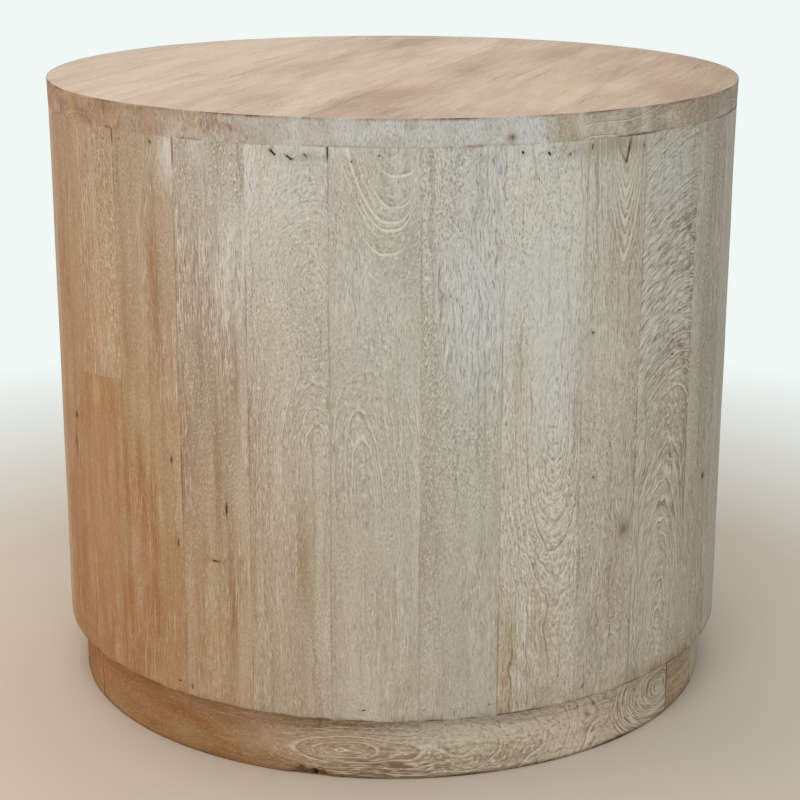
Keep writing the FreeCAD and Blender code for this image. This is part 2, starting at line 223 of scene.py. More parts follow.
# Stretches where the joint under the rim stands open and dark: first and last heading in degrees.
OPEN_STRETCHES = ((-49, -47), (-33, -29), (7, 8.5), (10, 13), (35, 43), (95, 104), (170, 176), (-140, -128))
# Each board of the top: how dark its face is, then how dark, how brown and how washed its end at the rim is.
# The brown rims of top_board_1 and top_board_2, at the left, are partly the wood's own and partly painted
# warm light from the left.
TOP_TONES = {
    "top_board_1": (0.40, 0.90, 0.80, 0.05), "top_board_2": (0.28, 0.95, 0.75, 0.10),
    "top_board_3": (0.40, 1.05, 0.40, 0.32), "top_board_4": (0.30, 0.96, 0.10, 0.66),
    "top_board_5": (0.44, 0.74, 0.05, 0.54), "top_board_6": (0.34, 0.50, 0.00, 0.95),
    "top_board_7": (0.44, 0.62, 0.25, 0.05),
}
# Darker and paler stretches of the rim: heading in degrees, half width in degrees, how much darker.
RIM_TONES = (
    (-36.0, 7.0, 0.12), (-25.0, 6.0, 0.26), (25.0, 3.2, 0.34), (33.5, 2.6, -0.3), (46.0, 5.0, 0.32),
    (56.0, 7.0, 0.36), (150.0, 9.0, 0.2), (200.0, 12.0, -0.2), (-110.0, 9.0, 0.2),
)
# Brown scuffs on the rim, set out as the smears of wash are.
RIM_SCUFFS = ((17.2, 13, 0.6, 2.4, 0.6), (-24.0, 8, 0.8, 3.0, 0.4), (132.0, 9, 0.7, 2.5, 0.5))
# Patches on the top: millimetres across and along the boards from the middle, half sizes, darker or paler.
TOP_PATCHES = (
    (38, -149, 22, 62, 0.9), (10, -160, 9, 75, -0.5), (-38, -175, 15, 35, 0.6), (6, 169, 16, 35, -0.5),
    (-196, 78, 14, 40, -0.5), (-47, 199, 24, 45, 0.6), (-120, 82, 9, 45, -0.45), (6, 61, 12, 70, -0.35),
    (236, -68, 18, 60, 0.4), (-126, -65, 4, 40, 0.5), (-100, -30, 3, 60, 0.4), (60, 20, 14, 60, 0.35),
    (-70, 20, 12, 80, 0.3), (150, 60, 20, 60, 0.25), (110, -60, 6, 80, 0.4), (180, -20, 8, 50, -0.3),
    (-20, 100, 10, 50, 0.35), (-160, -20, 10, 60, 0.3), (90, 140, 14, 50, 0.35), (64, -205, 9, 24, 0.6),
)
# Joints between staves that stand open below the rim: heading in degrees, millimetres down and how dark.
JOINT_GAPS = ((-47.3, 29, 0.75), (-34.2, 38, 0.55), (-9.25, 27, 0.8), (118.9, 30, 0.5), (-99.0, 32, 0.5))
# How the tone runs out beside a joint between two staves: heading in degrees, millimetres below the top and
# half height, then how much darker the stave gets to the right of it and how much paler to the left.
JOINT_TONES = (
    (-59.3, 80, 70, 0.14), (-47.3, 270, 130, 0.1), (-34.2, 200, 180, 0.18), (-21.9, 210, 80, 0.3),
    (-9.25, 300, 130, 0.24), (4.1, 240, 120, 0.22), (16.4, 340, 70, 0.17), (29.7, 210, 80, -0.28),
    (41.1, 150, 110, -0.34), (55.2, 180, 160, -0.55),
)
# Smooth smears of filler over the nails, set out as the smears of wash are.
FILLER = (
    (27.0, 24, 3.0, 7, 0.7), (32.5, 23, 3.6, 8, 0.9), (39.0, 25, 2.0, 7, 0.6), (-12.0, 25, 2.6, 7, 0.8),
    (36.0, 22, 3.0, 6, 0.6), (3.0, 22, 2.5, 6, 0.4), (17.0, 402, 5.0, 6, 0.4), (-38.0, 398, 4.0, 9, 0.5),
    (25.0, 400, 4.0, 8, 0.5), (140.0, 24, 6.0, 8, 0.6), (-150.0, 24, 6.0, 8, 0.6), (95.0, 400, 5.0, 8, 0.5),
)
# A nail that no line above names: no slot, and hardly open. A line names a nail within so many degrees.
FILLED_MARK = (0, 0.0, 0, 0.1)
MARK_REACH = 0.4
# How dark the joint under the rim is where it stands open.
OPEN_LINE = 0.42
# Degrees over which the tone runs out beside a joint between staves, and the drum's radius at the joint.
JOINT_RUN = 3
JOINT_RADIUS = 0.2535
# The notch cut into one stave under the rim: heading of its point in degrees, then in metres how far below
# the top the point is, how high the cut reaches above it and how deep it goes in.
NOTCH_STAVE = "stave_03"
NOTCH_HEADING, NOTCH_DROP, NOTCH_HEIGHT, NOTCH_DEPTH = 36.9, 0.036, 0.018, 0.0006
# The eye of the rim's figure at the left: heading in degrees and metres below the top.
RIM_EYE = (-57, 0.02)
# The front length of the plinth, with the middle of its eye and of the rings near its right end: heading in
# degrees and millimetres above the floor. The length beside it turns brown towards the left end of the front,
# partly the wood's own and partly painted warm light from the left.
PLINTH_FRONT, PLINTH_LEFT = "plinth_segment_3", "plinth_segment_2"
PLINTH_EYE, PLINTH_PITH = (-8.6, 21.0), (53.5, 26.0)
# The broken foot of the plinth: first and last heading in degrees and height in millimetres, then its crack.
PLINTH_CHIP, PLINTH_CRACK = (-17.6, -10.2, 9.0), -12.7

# Angles at which the rounded edges of the staves, of the rim and of the plinth have points.
EDGE_ARC = np.radians((20, 45, 70, 90))
RIM_ARC = np.radians((0, 22, 45, 68, 90))
PLINTH_ARC = np.radians((0, 30, 60, 90))
# In metres: the least and largest radius of a stave's long edges, the strip beside its face that they take,
# how far behind the face its relief runs out, the strip at its ends with rows of its own and where these lie,
# the rows beside a joint, how far the rim slopes in and the plinth's rounding.
EDGE_LIMITS = (0.00004, 0.0006)
EDGE_STRIP = 0.0011
RELIEF_DEPTH = 0.004
END_STRIP = 0.002
END_ROWS = np.array((0.0, 0.00015, 0.0004, 0.0008, 0.0013))
JOINT_LIP = np.array((0.0, 0.0002, 0.0005, 0.001))
RIM_SLOPE = 0.0004
PLINTH_EASE = 0.0009
# How many points, with both ends, span a stave's back, the rim's wall, the underside of a top board and the
# plinth's upper face and inside.
BACK_POINTS, WALL_POINTS, BELOW_POINTS, DECK_POINTS, INSIDE_POINTS = 7, 11, 41, 6, 9
# Millimetres between the grid lines on a knot, and the share of the grid's spacing that the staves with
# listed arcs have.
KNOT_STEP = 2.4
ARC_GRID = 0.4
# Corners of a row of nails that are farther apart than this angle belong to two nails, and a stave's corners
# within this many radians of its end belong to that end.
NAIL_GAP = math.radians(0.5)
END_ANGLE = 0.001
# Seeds: the step from piece to piece, the first of the top's boards, the first of the plinth and what is
# added for the wood of a stave.
SEED_STEP, TOP_SEED, PLINTH_SEED, STAVE_WOOD_SEED = 40, 3000, 5000, 1000
# Screen colour of the dark spots on screws and nails.
SPOT_COLOUR = (84, 66, 50)
# What the lamps point at, in metres.
LAMP_AIM = (0.0, 0.0, 0.25)
# What the washed grain reads from a piece's attributes, and the colours that it takes.
WOOD_VECTORS = ("grain", "tint")
WOOD_VALUES = ("ring", "bold", "strokes", "stain", "arc", "arc_force")
WOOD_COLOURS = (
    "pale", "shade", "warm_pale", "warm_shade", "liming", "pore", "wash", "rose", "olive", "brown", "dirt",
)


def linear(red, green, blue):
    """A screen colour from 0 to 255 as the linear colour that a shader takes."""
    share = np.array((red, green, blue)) / 255
    light = np.where(share <= 0.04045, share / 12.92, ((share + 0.055) / 1.055) ** 2.4)
    return (*[float(part) for part in light], 1.0)


def length_property(name, description, default):
    return FloatProperty(
        name=name, description=description, default=default, min=0.0, unit="LENGTH", precision=4
    )


def colour_property(name, description, *screen):
    return FloatVectorProperty(
        name=name, description=description, subtype="COLOR", size=4, min=0.0, max=1.0, default=linear(*screen)
    )


def level_property(name, description, default, unit="NONE"):
    return FloatProperty(name=name, description=description, default=default, min=0.0, unit=unit)


class DrumSizes(bpy.types.PropertyGroup):
    """Sizes of the surface work on the boards."""

    grid: length_property("Grid", "Distance between the points of a board's surface", 0.0022)
    edge: length_property("Edge Easing", "Radius of a stave's long edges", 0.00015)
    rim: length_property("Rim Easing", "Radius of the top's outer edges", 0.0005)
    joint: length_property("Top Joint Easing", "Radius of the edges between the top's boards", 0.00003)
    hole_radius: length_property("Nail Hole Radius", "Radius of the hole over a set nail", 0.0007)
    hole_depth: length_property("Nail Hole Depth", "Depth of the hole over a set nail", 0.0013)
    wave: length_property("Surface Wave", "How far a hand-planed face rises and falls", 0.00016)
    ring: length_property("Ring Spacing", "Distance between growth rings in the log", 0.0036)
    chip: length_property("Chip Depth", "How far the broken foot of the plinth goes in", 0.004)


class DrumColours(bpy.types.PropertyGroup):
    """Colours of the washed wood and of what holds it."""

    pale: colour_property("Pale", "Lightest washed wood", 206, 204, 191)
    shade: colour_property("Shade", "Darkest washed wood", 161, 154, 136)
    warm_pale: colour_property("Warm Pale", "Lightest wood of the browner boards", 193, 167, 127)
    warm_shade: colour_property("Warm Shade", "Darkest wood of the browner boards", 151, 112, 67)
    top_pale: colour_property("Top Pale", "Lightest wood of the worn top", 229, 204, 179)
    top_shade: colour_property("Top Shade", "Darkest wood of the worn top", 193, 163, 137)
    top_rose: colour_property("Top Rose", "Pinkish clouds on the top", 216, 166, 142)
    top_straw: colour_property("Top Straw", "Yellowish clouds on the top", 228, 204, 154)
    plinth_pale: colour_property("Plinth Pale", "Lightest wood of the plinth", 230, 218, 195)
    plinth_shade: colour_property("Plinth Shade", "Darkest wood of the plinth", 134, 114, 86)
    plinth_tan: colour_property("Plinth Tan", "Lightest wood of the plinth's brown end", 181, 143, 90)
    plinth_brown: colour_property("Plinth Brown", "Darkest wood of the plinth's brown end", 132, 86, 32)
    plinth_liming: colour_property("Plinth Liming", "White left in the rings of the plinth", 232, 222, 202)
    liming: colour_property("Liming", "White left in the rings and pores", 230, 227, 217)
    pore: colour_property("Pore", "Brown of the open pores", 122, 105, 84)
    wash: colour_property("Wash", "Cool smears of pale wash", 211, 215, 212)
    rose: colour_property("Rose", "Pinkish clouds in the finish", 192, 178, 164)
    olive: colour_property("Olive", "Yellow-green clouds in the finish", 188, 184, 156)
    brown: colour_property("Brown", "Brown of stains and of the soft edge of knots", 126, 97, 68)
    dirt: colour_property("Dirt", "Dark of holes, knots and open joints", 62, 46, 33)
    ply: colour_property("Panel", "Raw face of the two round panels", 196, 170, 132)
    batten: colour_property("Batten", "Raw wood of posts and blocks", 188, 158, 118)
    steel: colour_property("Steel", "Zinc grey of the screws", 150, 150, 146)
    nail: colour_property("Nail", "Dark steel of the nails", 58, 52, 48)


class DrumStage(bpy.types.PropertyGroup):
    """Floor, light and camera."""

    floor: colour_property("Floor", "Colour of the plain floor", 222, 210, 193)
    far: colour_property("Far Floor", "Colour that the floor fades to in the distance", 240, 248, 246)
    sky: colour_property("Room Light", "Colour of the light all round", 236, 240, 244)
    sky_strength: level_property("Room Light Strength", "Level of the light all round", 0.56)
    key_power: level_property("Key Power", "Watts of the large lamp in front", 21.0, "POWER")
    side_power: level_property("Side Power", "Watts of the warm lamp at the left", 2.2, "POWER")
    camera_place: FloatVectorProperty(
        name="Camera Place", description="Where the camera stands", size=3, unit="LENGTH",
        default=(0.0, -1.4649, 0.6294),
    )
    camera_turn: FloatVectorProperty(
        name="Camera Turn", description="Tilt down, turn to the right and roll", size=3, unit="ROTATION",
        default=(math.radians(16.281), math.radians(0.230), math.radians(0.106)),
    )
    lens: level_property("Lens", "Focal length in millimetres", 88.0, "CAMERA")


def node_points(name):
    """The corners of one CAD node at rest, one row each, in metres."""
    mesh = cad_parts[name].data
    flat = np.empty(len(mesh.vertices) * 3, np.float32)
    mesh.vertices.foreach_get("co", flat)
    return flat.reshape(-1, 3).astype(float)


def nodes_named(*starts):
    """Names of the CAD nodes that start with one of those words, in order."""
    return sorted(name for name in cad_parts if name.startswith(starts))


def heading_of(points):
    """The heading of each point: the angle seen from above, from the front towards the right."""
    return np.arctan2(points[..., 0], -points[..., 1])


def turned(angle):
    """An angle brought between minus and plus half a turn."""
    return (angle + math.pi) % (2 * math.pi) - math.pi


def beside(heading, middle):
    """Degrees that a heading lies to the right of a middle one, which is given in degrees."""
    return np.degrees(turned(heading - math.radians(middle)))


def upright(away, heading, level):
    """Points at a distance from the drum's axis, at a heading and at a level."""
    return np.stack((away * np.sin(heading), -away * np.cos(heading), level), axis=-1)


def sector(name):
    """Corners, middle heading, half angle and corner offsets of a stave or a plinth piece, from the CAD."""
    points = node_points(name)
    middle = math.atan2(points[:, 0].sum(), -points[:, 1].sum())
    offset = turned(heading_of(points) - middle)
    shift = (offset.min() + offset.max()) / 2
    return points, middle + shift, (offset.max() - offset.min()) / 2, offset - shift


def nail_places(name):
    """Heading and height of each nail of a row: the corners in order of heading, parted at each gap."""
    points = node_points(name)
    heading = heading_of(points)
    order = np.argsort(heading)
    heading, height = heading[order], points[order, 2]
    part = np.concatenate(((0,), np.cumsum(np.diff(heading) > NAIL_GAP)))
    count = np.bincount(part)
    return np.stack((np.bincount(part, heading) / count, np.bincount(part, height) / count), axis=1)


def wander(across, lengthwise, seed, size):
    """Smooth seeded wander, about -1 to 1: five sine waves of different slant and length over two places."""
    random = np.random.default_rng(seed)
    slants, lengths, shifts = random.uniform((0, 0.6, 0), (2 * math.pi, 1.8, 2 * math.pi), (5, 3)).T
    total = 0.0
    for slant, length, shift in zip(slants, lengths, shifts):
        step = across * math.cos(slant) + lengthwise * math.sin(slant)
        total = total + np.sin(step * (2 * math.pi / (length * size)) + shift)
    return total / 3


def along(pairs, place):
    """A smooth line through given places and values: straight between them, then averaged over 30 mm."""
    at, value = np.array(pairs, float).T
    fine = np.arange(at.min() - 60, at.max() + 60)
    window = np.hanning(32)[1:-1] / np.hanning(32).sum()
    line = np.convolve(np.pad(np.interp(fine, at, value), 15, mode="edge")[:-1], window, mode="valid")
    return np.interp(place * 1000, fine, line)


def spread(low, high, spacing, places=(), reach=0.0, fine=None):
    """Grid places from low to high at a spacing, closer together within reach of the given places."""
    fine = fine or spacing
    coarse = np.linspace(low, high, max(2, round((high - low) / spacing) + 1))
    close = [np.arange(place - reach, place + reach + fine / 2, fine) for place in places]
    every = np.unique(np.concatenate([coarse, *close]).clip(low, high))
    kept = np.concatenate(((True,), np.diff(every) > fine * 0.45))
    kept[-1] = True
    return every[kept]


def eased(distance, radius):
    """How far a rounded edge falls at a distance in from it: a quarter circle, then nothing."""
    inside = np.clip(1 - distance / np.maximum(radius, 1e-6), 0, 1)
    return radius * (1 - np.sqrt(1 - inside * inside))


def smooth(value, low, high):
    """Nothing below low, one above high and a smooth rise between."""
    share = np.clip((value - low) / (high - low), 0, 1)
    return share * share * (3 - 2 * share)


def bell(distance, width):
    """One at no distance, then a smooth fall: the exponential of minus the square of distance over width."""
    return np.exp(-((distance / width) ** 2))


def blend(first, second, share):
    """The first value at a share of nothing, the second at a share of one."""
    return first + (second - first) * share


def patches(table, heading, drop):
    """Sum of soft oval patches: each falls off as a bell over its half width in degrees and half height."""
    total = 0.0
    for middle, depth, wide, high, strength in table:
        total = total + strength * bell(beside(heading, middle), wide) * bell(drop * 1000 - depth, high)
    return total


def joint_tones(heading, drop):
    """Tone beside the joints: a bell round each joint, turned over on its left side, with a bell along it."""
    total = 0.0
    for joint, depth, high, strength in JOINT_TONES:
        away = beside(heading, joint)
        run = np.sign(away) * bell(away, JOINT_RUN)
        total = total + strength * run * bell(drop * 1000 - depth, high)
    return total


def opened(heading):
    """One where the joint under the rim stands open, with soft ends, and nothing elsewhere."""
    degrees = np.degrees(turned(heading))
    total = 0 * degrees
    for first, last in OPEN_STRETCHES:
        total = total + smooth(degrees, first - 0.6, first + 0.4) * smooth(-degrees, -last - 0.6, 0.4 - last)
    return total


def skin(name, rings, values):
    """A closed skin over a row of point loops: four-sided faces from loop to loop and filled end loops."""
    rows, count = rings.shape[:2]
    here = np.arange(rows * count, dtype=np.int32).reshape(rows, count)
    after = np.roll(here, -1, axis=1)
    sides = np.stack((here[:-1], after[:-1], after[1:], here[1:]), axis=-1).reshape(-1)
    corners = np.concatenate((sides, here[0][::-1], here[-1])).astype(np.int32)
    starts = np.concatenate((np.arange(0, len(sides), 4), (len(sides), len(sides) + count))).astype(np.int32)
    mesh = bpy.data.meshes.new(name)
    mesh.vertices.add(rows * count)
    mesh.vertices.foreach_set("co", rings.reshape(-1).astype(np.float32))
    mesh.loops.add(len(corners))
    mesh.loops.foreach_set("vertex_index", corners)
    mesh.polygons.add(len(starts))
    mesh.polygons.foreach_set("loop_start", starts)
    mesh.update(calc_edges=True)
    mesh.shade_smooth()
    mesh.set_sharp_from_angle(angle=math.radians(45))
    for key, value in values.items():
        vector = value.ndim == 3
        layer = mesh.attributes.new(key, "FLOAT_VECTOR" if vector else "FLOAT", "POINT")
        layer.data.foreach_set("vector" if vector else "value", value.reshape(-1).astype(np.float32))
    piece = bpy.data.objects.new(name, mesh)
    bpy.context.scene.collection.objects.link(piece)
    return piece


def dress(board, material):
    """Makes a board's piece from its loops and attributes, hangs it under the root body and hides the CAD
    node that it stands for.
    """
    piece = skin("washed_" + board.name, board.rings(), board.values())
    piece.data.materials.append(material)
    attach(piece, "root")
    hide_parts(board.name)


class Sheet:
    """Short names for laying out the nodes of one tree."""

    def __init__(self, tree):
        self.tree = tree
        tree.nodes.clear()

    def node(self, kind, **settings):
        made = self.tree.nodes.new(kind)
        for key, value in settings.items():
            setattr(made, key, value)
        return made

    def feed(self, socket, value):
        if isinstance(value, bpy.types.NodeSocket):
            self.tree.links.new(value, socket)
        else:
            socket.default_value = value

    def math(self, operation, first, second=0.0, clamp=False):
        made = self.node("ShaderNodeMath", operation=operation, use_clamp=clamp)
        self.feed(made.inputs[0], first)
        self.feed(made.inputs[1], second)
        return made.outputs[0]

    def times(self, first, second):
        return self.math("MULTIPLY", first, second)

    def plus(self, *terms):
        total = terms[0]
        for term in terms[1:]:
            total = self.math("ADD", total, term)
        return total

    def about(self, value, share):
        """A value from 0 to 1 turned into a swing round nothing of that share."""
        return self.times(self.math("SUBTRACT", value, 0.5), share)

    def between(self, share, first, second):
        """The first value at a share of nothing and the second at a share of one."""
        return self.plus(first, self.times(self.math("SUBTRACT", second, first), share))

    def span(self, value, low, high):
        """Nothing at low, one at high and straight between."""
        made = self.node("ShaderNodeMapRange")
        self.feed(made.inputs["Value"], value)
        made.inputs["From Min"].default_value = low
        made.inputs["From Max"].default_value = high
        return made.outputs[0]

    def mix(self, share, first, second, blend="MIX"):
        made = self.node("ShaderNodeMix", data_type="RGBA", blend_type=blend, clamp_factor=True)
        self.feed(made.inputs[0], share)
        self.feed(made.inputs[6], first)
        self.feed(made.inputs[7], second)
        return made.outputs[2]

    def shaders(self, share, first, second):
        made = self.node("ShaderNodeMixShader")
        for socket, value in zip(made.inputs, (share, first, second)):
            self.feed(socket, value)
        return made.outputs[0]

    def stretch(self, vector, scales):
        made = self.node("ShaderNodeVectorMath", operation="MULTIPLY")
        self.feed(made.inputs[0], vector)
        made.inputs[1].default_value = scales
        return made.outputs[0]

    def vector(self, x, y, z):
        made = self.node("ShaderNodeCombineXYZ")
        for socket, value in zip(made.inputs, (x, y, z)):
            self.feed(socket, value)
        return made.outputs[0]

    def parts(self, vector):
        made = self.node("ShaderNodeSeparateXYZ")
        self.feed(made.inputs[0], vector)
        return made.outputs

    def noise(self, vector, detail=2.0, roughness=0.5):
        made = self.node("ShaderNodeTexNoise", noise_dimensions="3D")
        self.feed(made.inputs["Vector"], vector)
        made.inputs["Scale"].default_value = 1.0
        made.inputs["Detail"].default_value = detail
        made.inputs["Roughness"].default_value = roughness
        return made.outputs[0]

    def attribute(self, name, output="Fac"):
        made = self.node("ShaderNodeAttribute", attribute_type="GEOMETRY", attribute_name=name)
        return made.outputs[output]


def new_group(name, inputs):
    """A shader group that puts out colour, roughness and height, its sheet and its sockets on both sides."""
    outputs = (("Color", "Color"), ("Roughness", "Float"), ("Height", "Float"))
    group = bpy.data.node_groups.new(name, "ShaderNodeTree")
    for side, sockets in (("INPUT", inputs), ("OUTPUT", outputs)):
        for title, kind in sockets:
            group.interface.new_socket(name=title, in_out=side, socket_type="NodeSocket" + kind)
    sheet = Sheet(group)
    return group, sheet, sheet.node("NodeGroupInput").outputs, sheet.node("NodeGroupOutput").inputs


def socket_name(key):
    """The name of the socket that takes an attribute or a colour."""
    return key.replace("_", " ").title()


def washed_grain():
    """Group for limed, washed wood.

    Broad streaks, blotches and ring bands move the tone between the pale and the shade of a cool and a warm
    pair, with clouds and wash over them. Pore strokes are noise drawn out along the grain, or along the rings
    where the figure is bold. Each ring ends in a dark edge and a broken white line whose strength differs
    from ring to ring, and single arcs are drawn where their own place runs through a whole number."""
    group, s, given, put = new_group(
        "washed_grain",
        [(socket_name(key), "Vector") for key in WOOD_VECTORS]
        + [(socket_name(key), "Float") for key in (*WOOD_VALUES, "ring_spacing")]
        + [(socket_name(key), "Color") for key in WOOD_COLOURS],
    )
    grain, ring, bold, strength = given["Grain"], given["Ring"], given["Bold"], given["Strokes"]
    tone, warmth, wash = s.parts(given["Tint"])
    across, inward, lengthwise = s.parts(grain)
    sway = s.about(s.noise(s.stretch(grain, (80, 80, 50)), 1.0), 0.008)
    fibre = s.vector(s.plus(across, sway), inward, lengthwise)
    long = s.noise(s.stretch(fibre, (1350, 1350, 150)), 2.0, 0.65)
    short = s.noise(s.stretch(fibre, (1300, 1300, 430)), 2.0, 0.65)
    blotch = s.noise(s.stretch(grain, (26, 26, 11)), 2.0)
    straight = s.between(s.span(blotch, 0.44, 0.56), short, long)
    flow = s.times(s.plus(ring, s.times(sway, 0.3)), 1250)
    contour = s.vector(flow, s.times(across, 300), s.times(lengthwise, 260))
    drawn = s.vector(s.times(flow, 0.62), s.times(across, 110), s.times(lengthwise, 90))
    curved = s.between(s.span(bold, 0.95, 1.1), s.noise(contour, 2.0, 0.65), s.noise(drawn, 2.0, 0.6))
    strokes = s.between(s.times(bold, 0.85), straight, curved)
    thread = s.noise(s.stretch(grain, (950, 950, 24)), 2.0)
    streak = s.noise(s.stretch(grain, (150, 150, 8)), 3.0, 0.6)
    vein = s.noise(s.stretch(fibre, (420, 420, 9)), 1.0)
    cloud = s.noise(s.stretch(grain, (38, 38, 16)), 2.0)
    band = s.noise(s.vector(s.times(ring, 90), 0.0, s.times(lengthwise, 3)), 2.0)
    grit = s.noise(s.stretch(grain, (1700, 1700, 600)), 1.0)

    # The tone between the two pairs of colours, with clouds, wash, pores and fine threads over it.
    calm = s.math("SUBTRACT", 1.0, s.times(warmth, 0.5))
    depth = s.plus(tone, s.times(s.about(streak, 0.95), calm), s.about(blotch, 0.5))
    depth = s.math("ADD", depth, s.times(s.about(band, 1.0), s.plus(0.35, bold)), True)
    cool = s.mix(depth, given["Pale"], given["Shade"])
    warm = s.mix(depth, given["Warm Pale"], given["Warm Shade"])
    colour = s.mix(s.times(warmth, s.plus(0.6, s.times(blotch, 0.8))), cool, warm)
    colour = s.mix(s.times(s.times(s.span(cloud, 0.54, 0.74), 0.4), calm), colour, given["Rose"])
    colour = s.mix(s.times(s.times(s.span(cloud, 0.46, 0.26), 0.55), calm), colour, given["Olive"])
    cover = s.times(wash, s.plus(s.span(blotch, 0.2, 0.6), s.about(streak, 0.8)))
    colour = s.mix(s.times(cover, 0.94), colour, given["Wash"])
    strokes = s.math("SUBTRACT", strokes, s.times(s.math("MINIMUM", tone, 0.0), 0.13))
    dark = s.times(s.span(strokes, 0.48, 0.35), strength)
    limed = s.times(strength, s.math("SUBTRACT", 1.0, s.times(warmth, 0.65)))
    light = s.times(s.span(strokes, 0.52, 0.63), limed)
    fine = s.times(s.times(s.span(thread, 0.56, 0.68), s.span(blotch, 0.42, 0.6)), strength)
    colour = s.mix(s.times(dark, 0.46), colour, given["Pore"])
    colour = s.mix(s.times(light, 0.66), colour, given["Liming"])
    colour = s.mix(s.times(fine, 0.4), colour, given["Liming"])
    brown = s.times(s.span(vein, 0.6, 0.74), s.times(strength, s.plus(0.2, s.times(warmth, 0.3))))
    colour = s.mix(brown, colour, given["Pore"])

    # The dark edge and the white line of each growth ring, and the single arcs.
    turn = s.plus(s.math("DIVIDE", ring, given["Ring Spacing"]), s.about(streak, 0.25), s.about(band, 1.4))
    phase = s.math("FRACT", turn)
    chance = s.node("ShaderNodeTexWhiteNoise", noise_dimensions="1D")
    s.feed(chance.inputs["W"], s.math("FLOOR", turn))
    force = s.times(s.span(chance.outputs["Value"], 0.1, 0.8), s.span(bold, 0.3, 1.0))
    force = s.math("MAXIMUM", force, s.span(bold, 1.0, 1.3))
    broken = s.span(s.noise(s.stretch(grain, (330, 330, 60)), 1.0), 0.34, 0.5)
    late = s.times(s.times(s.span(phase, 0.0, 0.16), s.span(phase, 0.26, 0.2)), force)
    line = s.times(s.times(s.span(phase, 0.22, 0.27), s.span(phase, 0.46, 0.34)), s.times(force, broken))
    side = s.math("SUBTRACT", s.math("FRACT", s.plus(given["Arc"], 0.5, s.about(short, 0.05))), 0.5)
    ridge = s.times(s.span(s.math("ABSOLUTE", side), 0.13, 0.07), s.plus(0.45, s.times(broken, 0.55)))
    hollow = s.times(s.span(side, -0.3, -0.15), s.span(side, -0.04, -0.1))
    line = s.math("MAXIMUM", line, s.times(ridge, given["Arc Force"]))
    late = s.math("MAXIMUM", late, s.times(s.times(hollow, 0.8), given["Arc Force"]))
    colour = s.mix(s.times(late, 0.48), colour, given["Pore"])
    colour = s.mix(s.times(line, 0.92), colour, given["Liming"])

    # Fine grit, then stains and painted shade, brown at first and dark where they are strong.
    colour = s.mix(0.25, colour, s.mix(s.span(grit, 0.25, 0.75), (0, 0, 0, 1), (1, 1, 1, 1)), "SOFT_LIGHT")
    ragged = s.noise(s.stretch(grain, (420, 420, 140)), 2.0, 0.65)
    dirt = s.math("MULTIPLY", given["Stain"], s.plus(0.3, s.times(ragged, 1.3)), True)
    colour = s.mix(s.math("MULTIPLY", dirt, 1.5, True), colour, given["Brown"])
    colour = s.mix(s.span(dirt, 0.35, 0.85), colour, given["Dirt"])

    s.feed(put["Color"], colour)
    s.feed(put["Roughness"], s.plus(0.66, s.times(dark, 0.12), s.times(light, -0.05), s.times(dirt, 0.15)))
    sunk = s.plus(s.times(dark, 0.5), s.times(late, 0.3), s.times(dirt, 0.3))
    s.feed(put["Height"], s.math("SUBTRACT", s.times(s.math("MAXIMUM", light, line), 0.2), sunk))
    return group


def raw_wood():
    """Group for plain unfinished wood: long soft streaks and fine fibres along one axis of the object."""
    sockets = (("Place", "Vector"), ("Pale", "Color"), ("Pore", "Color"))
    group, s, given, put = new_group("raw_wood", sockets)
    streak = s.noise(s.stretch(given["Place"], (9, 120, 120)), 3.0)
    fibre = s.noise(s.stretch(given["Place"], (90, 900, 900)), 2.0)
    colour = s.mix(s.times(s.span(streak, 0.4, 0.75), 0.5), given["Pale"], given["Pore"])
    colour = s.mix(s.times(s.span(fibre, 0.52, 0.7), 0.35), colour, given["Pore"])
    s.feed(put["Color"], colour)
    s.feed(put["Roughness"], s.plus(0.7, s.about(fibre, 0.2)))
    s.feed(put["Height"], fibre)
    return group


def worn_metal():
    """Group for small steel fasteners: a mottled plating with darker, rougher spots."""
    group, s, given, put = new_group("worn_metal", (("Place", "Vector"), ("Base", "Color")))
    mottle = s.noise(s.stretch(given["Place"], (900, 900, 900)), 3.0)
    spot = s.span(mottle, 0.52, 0.7)
    s.feed(put["Color"], s.mix(s.times(spot, 0.55), given["Base"], linear(*SPOT_COLOUR)))
    s.feed(put["Roughness"], s.plus(0.32, s.times(spot, 0.35)))
    s.feed(put["Height"], mottle)
    return group


def finish(name, group, feeds, bump, metallic=0.0):
    """A material whose colour, roughness and small relief come from a shader group fed with those values."""
    material = bpy.data.materials.new(name)
    material.use_nodes = True
    s = Sheet(material.node_tree)
    made = s.node("ShaderNodeGroup")
    made.node_tree = group
    for key, value in feeds.items():
        if callable(value):
            value = value(s)
        s.feed(made.inputs[key], value)
    surface = s.node("ShaderNodeBsdfPrincipled")
    relief = s.node("ShaderNodeBump")
    relief.inputs["Strength"].default_value = 0.5
    relief.inputs["Distance"].default_value = bump
    s.feed(relief.inputs["Height"], made.outputs["Height"])
    s.feed(surface.inputs["Base Color"], made.outputs["Color"])
    s.feed(surface.inputs["Roughness"], made.outputs["Roughness"])
    s.feed(surface.inputs["Normal"], relief.outputs[0])
    surface.inputs["Metallic"].default_value = metallic
    surface.inputs["Specular IOR Level"].default_value = 0.35
    s.feed(s.node("ShaderNodeOutputMaterial").inputs["Surface"], surface.outputs[0])
    return material


def washed_material(name, **own):
    """Washed wood with the figure read from the piece's attributes, and its own colours where it has them."""
    colours, sizes = bpy.context.scene.drum_colours, bpy.context.scene.drum_sizes
    group = bpy.data.node_groups.get("washed_grain") or washed_grain()
    feeds = {"Ring Spacing": sizes.ring}
    for output, keys in (("Vector", WOOD_VECTORS), ("Fac", WOOD_VALUES)):
        for key in keys:
            feeds[socket_name(key)] = lambda s, key=key, output=output: s.attribute(key, output)
    for key in WOOD_COLOURS:
        feeds[socket_name(key)] = own.get(key, getattr(colours, key))
    return finish(name, group, feeds, 0.0005)


def object_place(sheet):
    return sheet.node("ShaderNodeTexCoord").outputs["Object"]


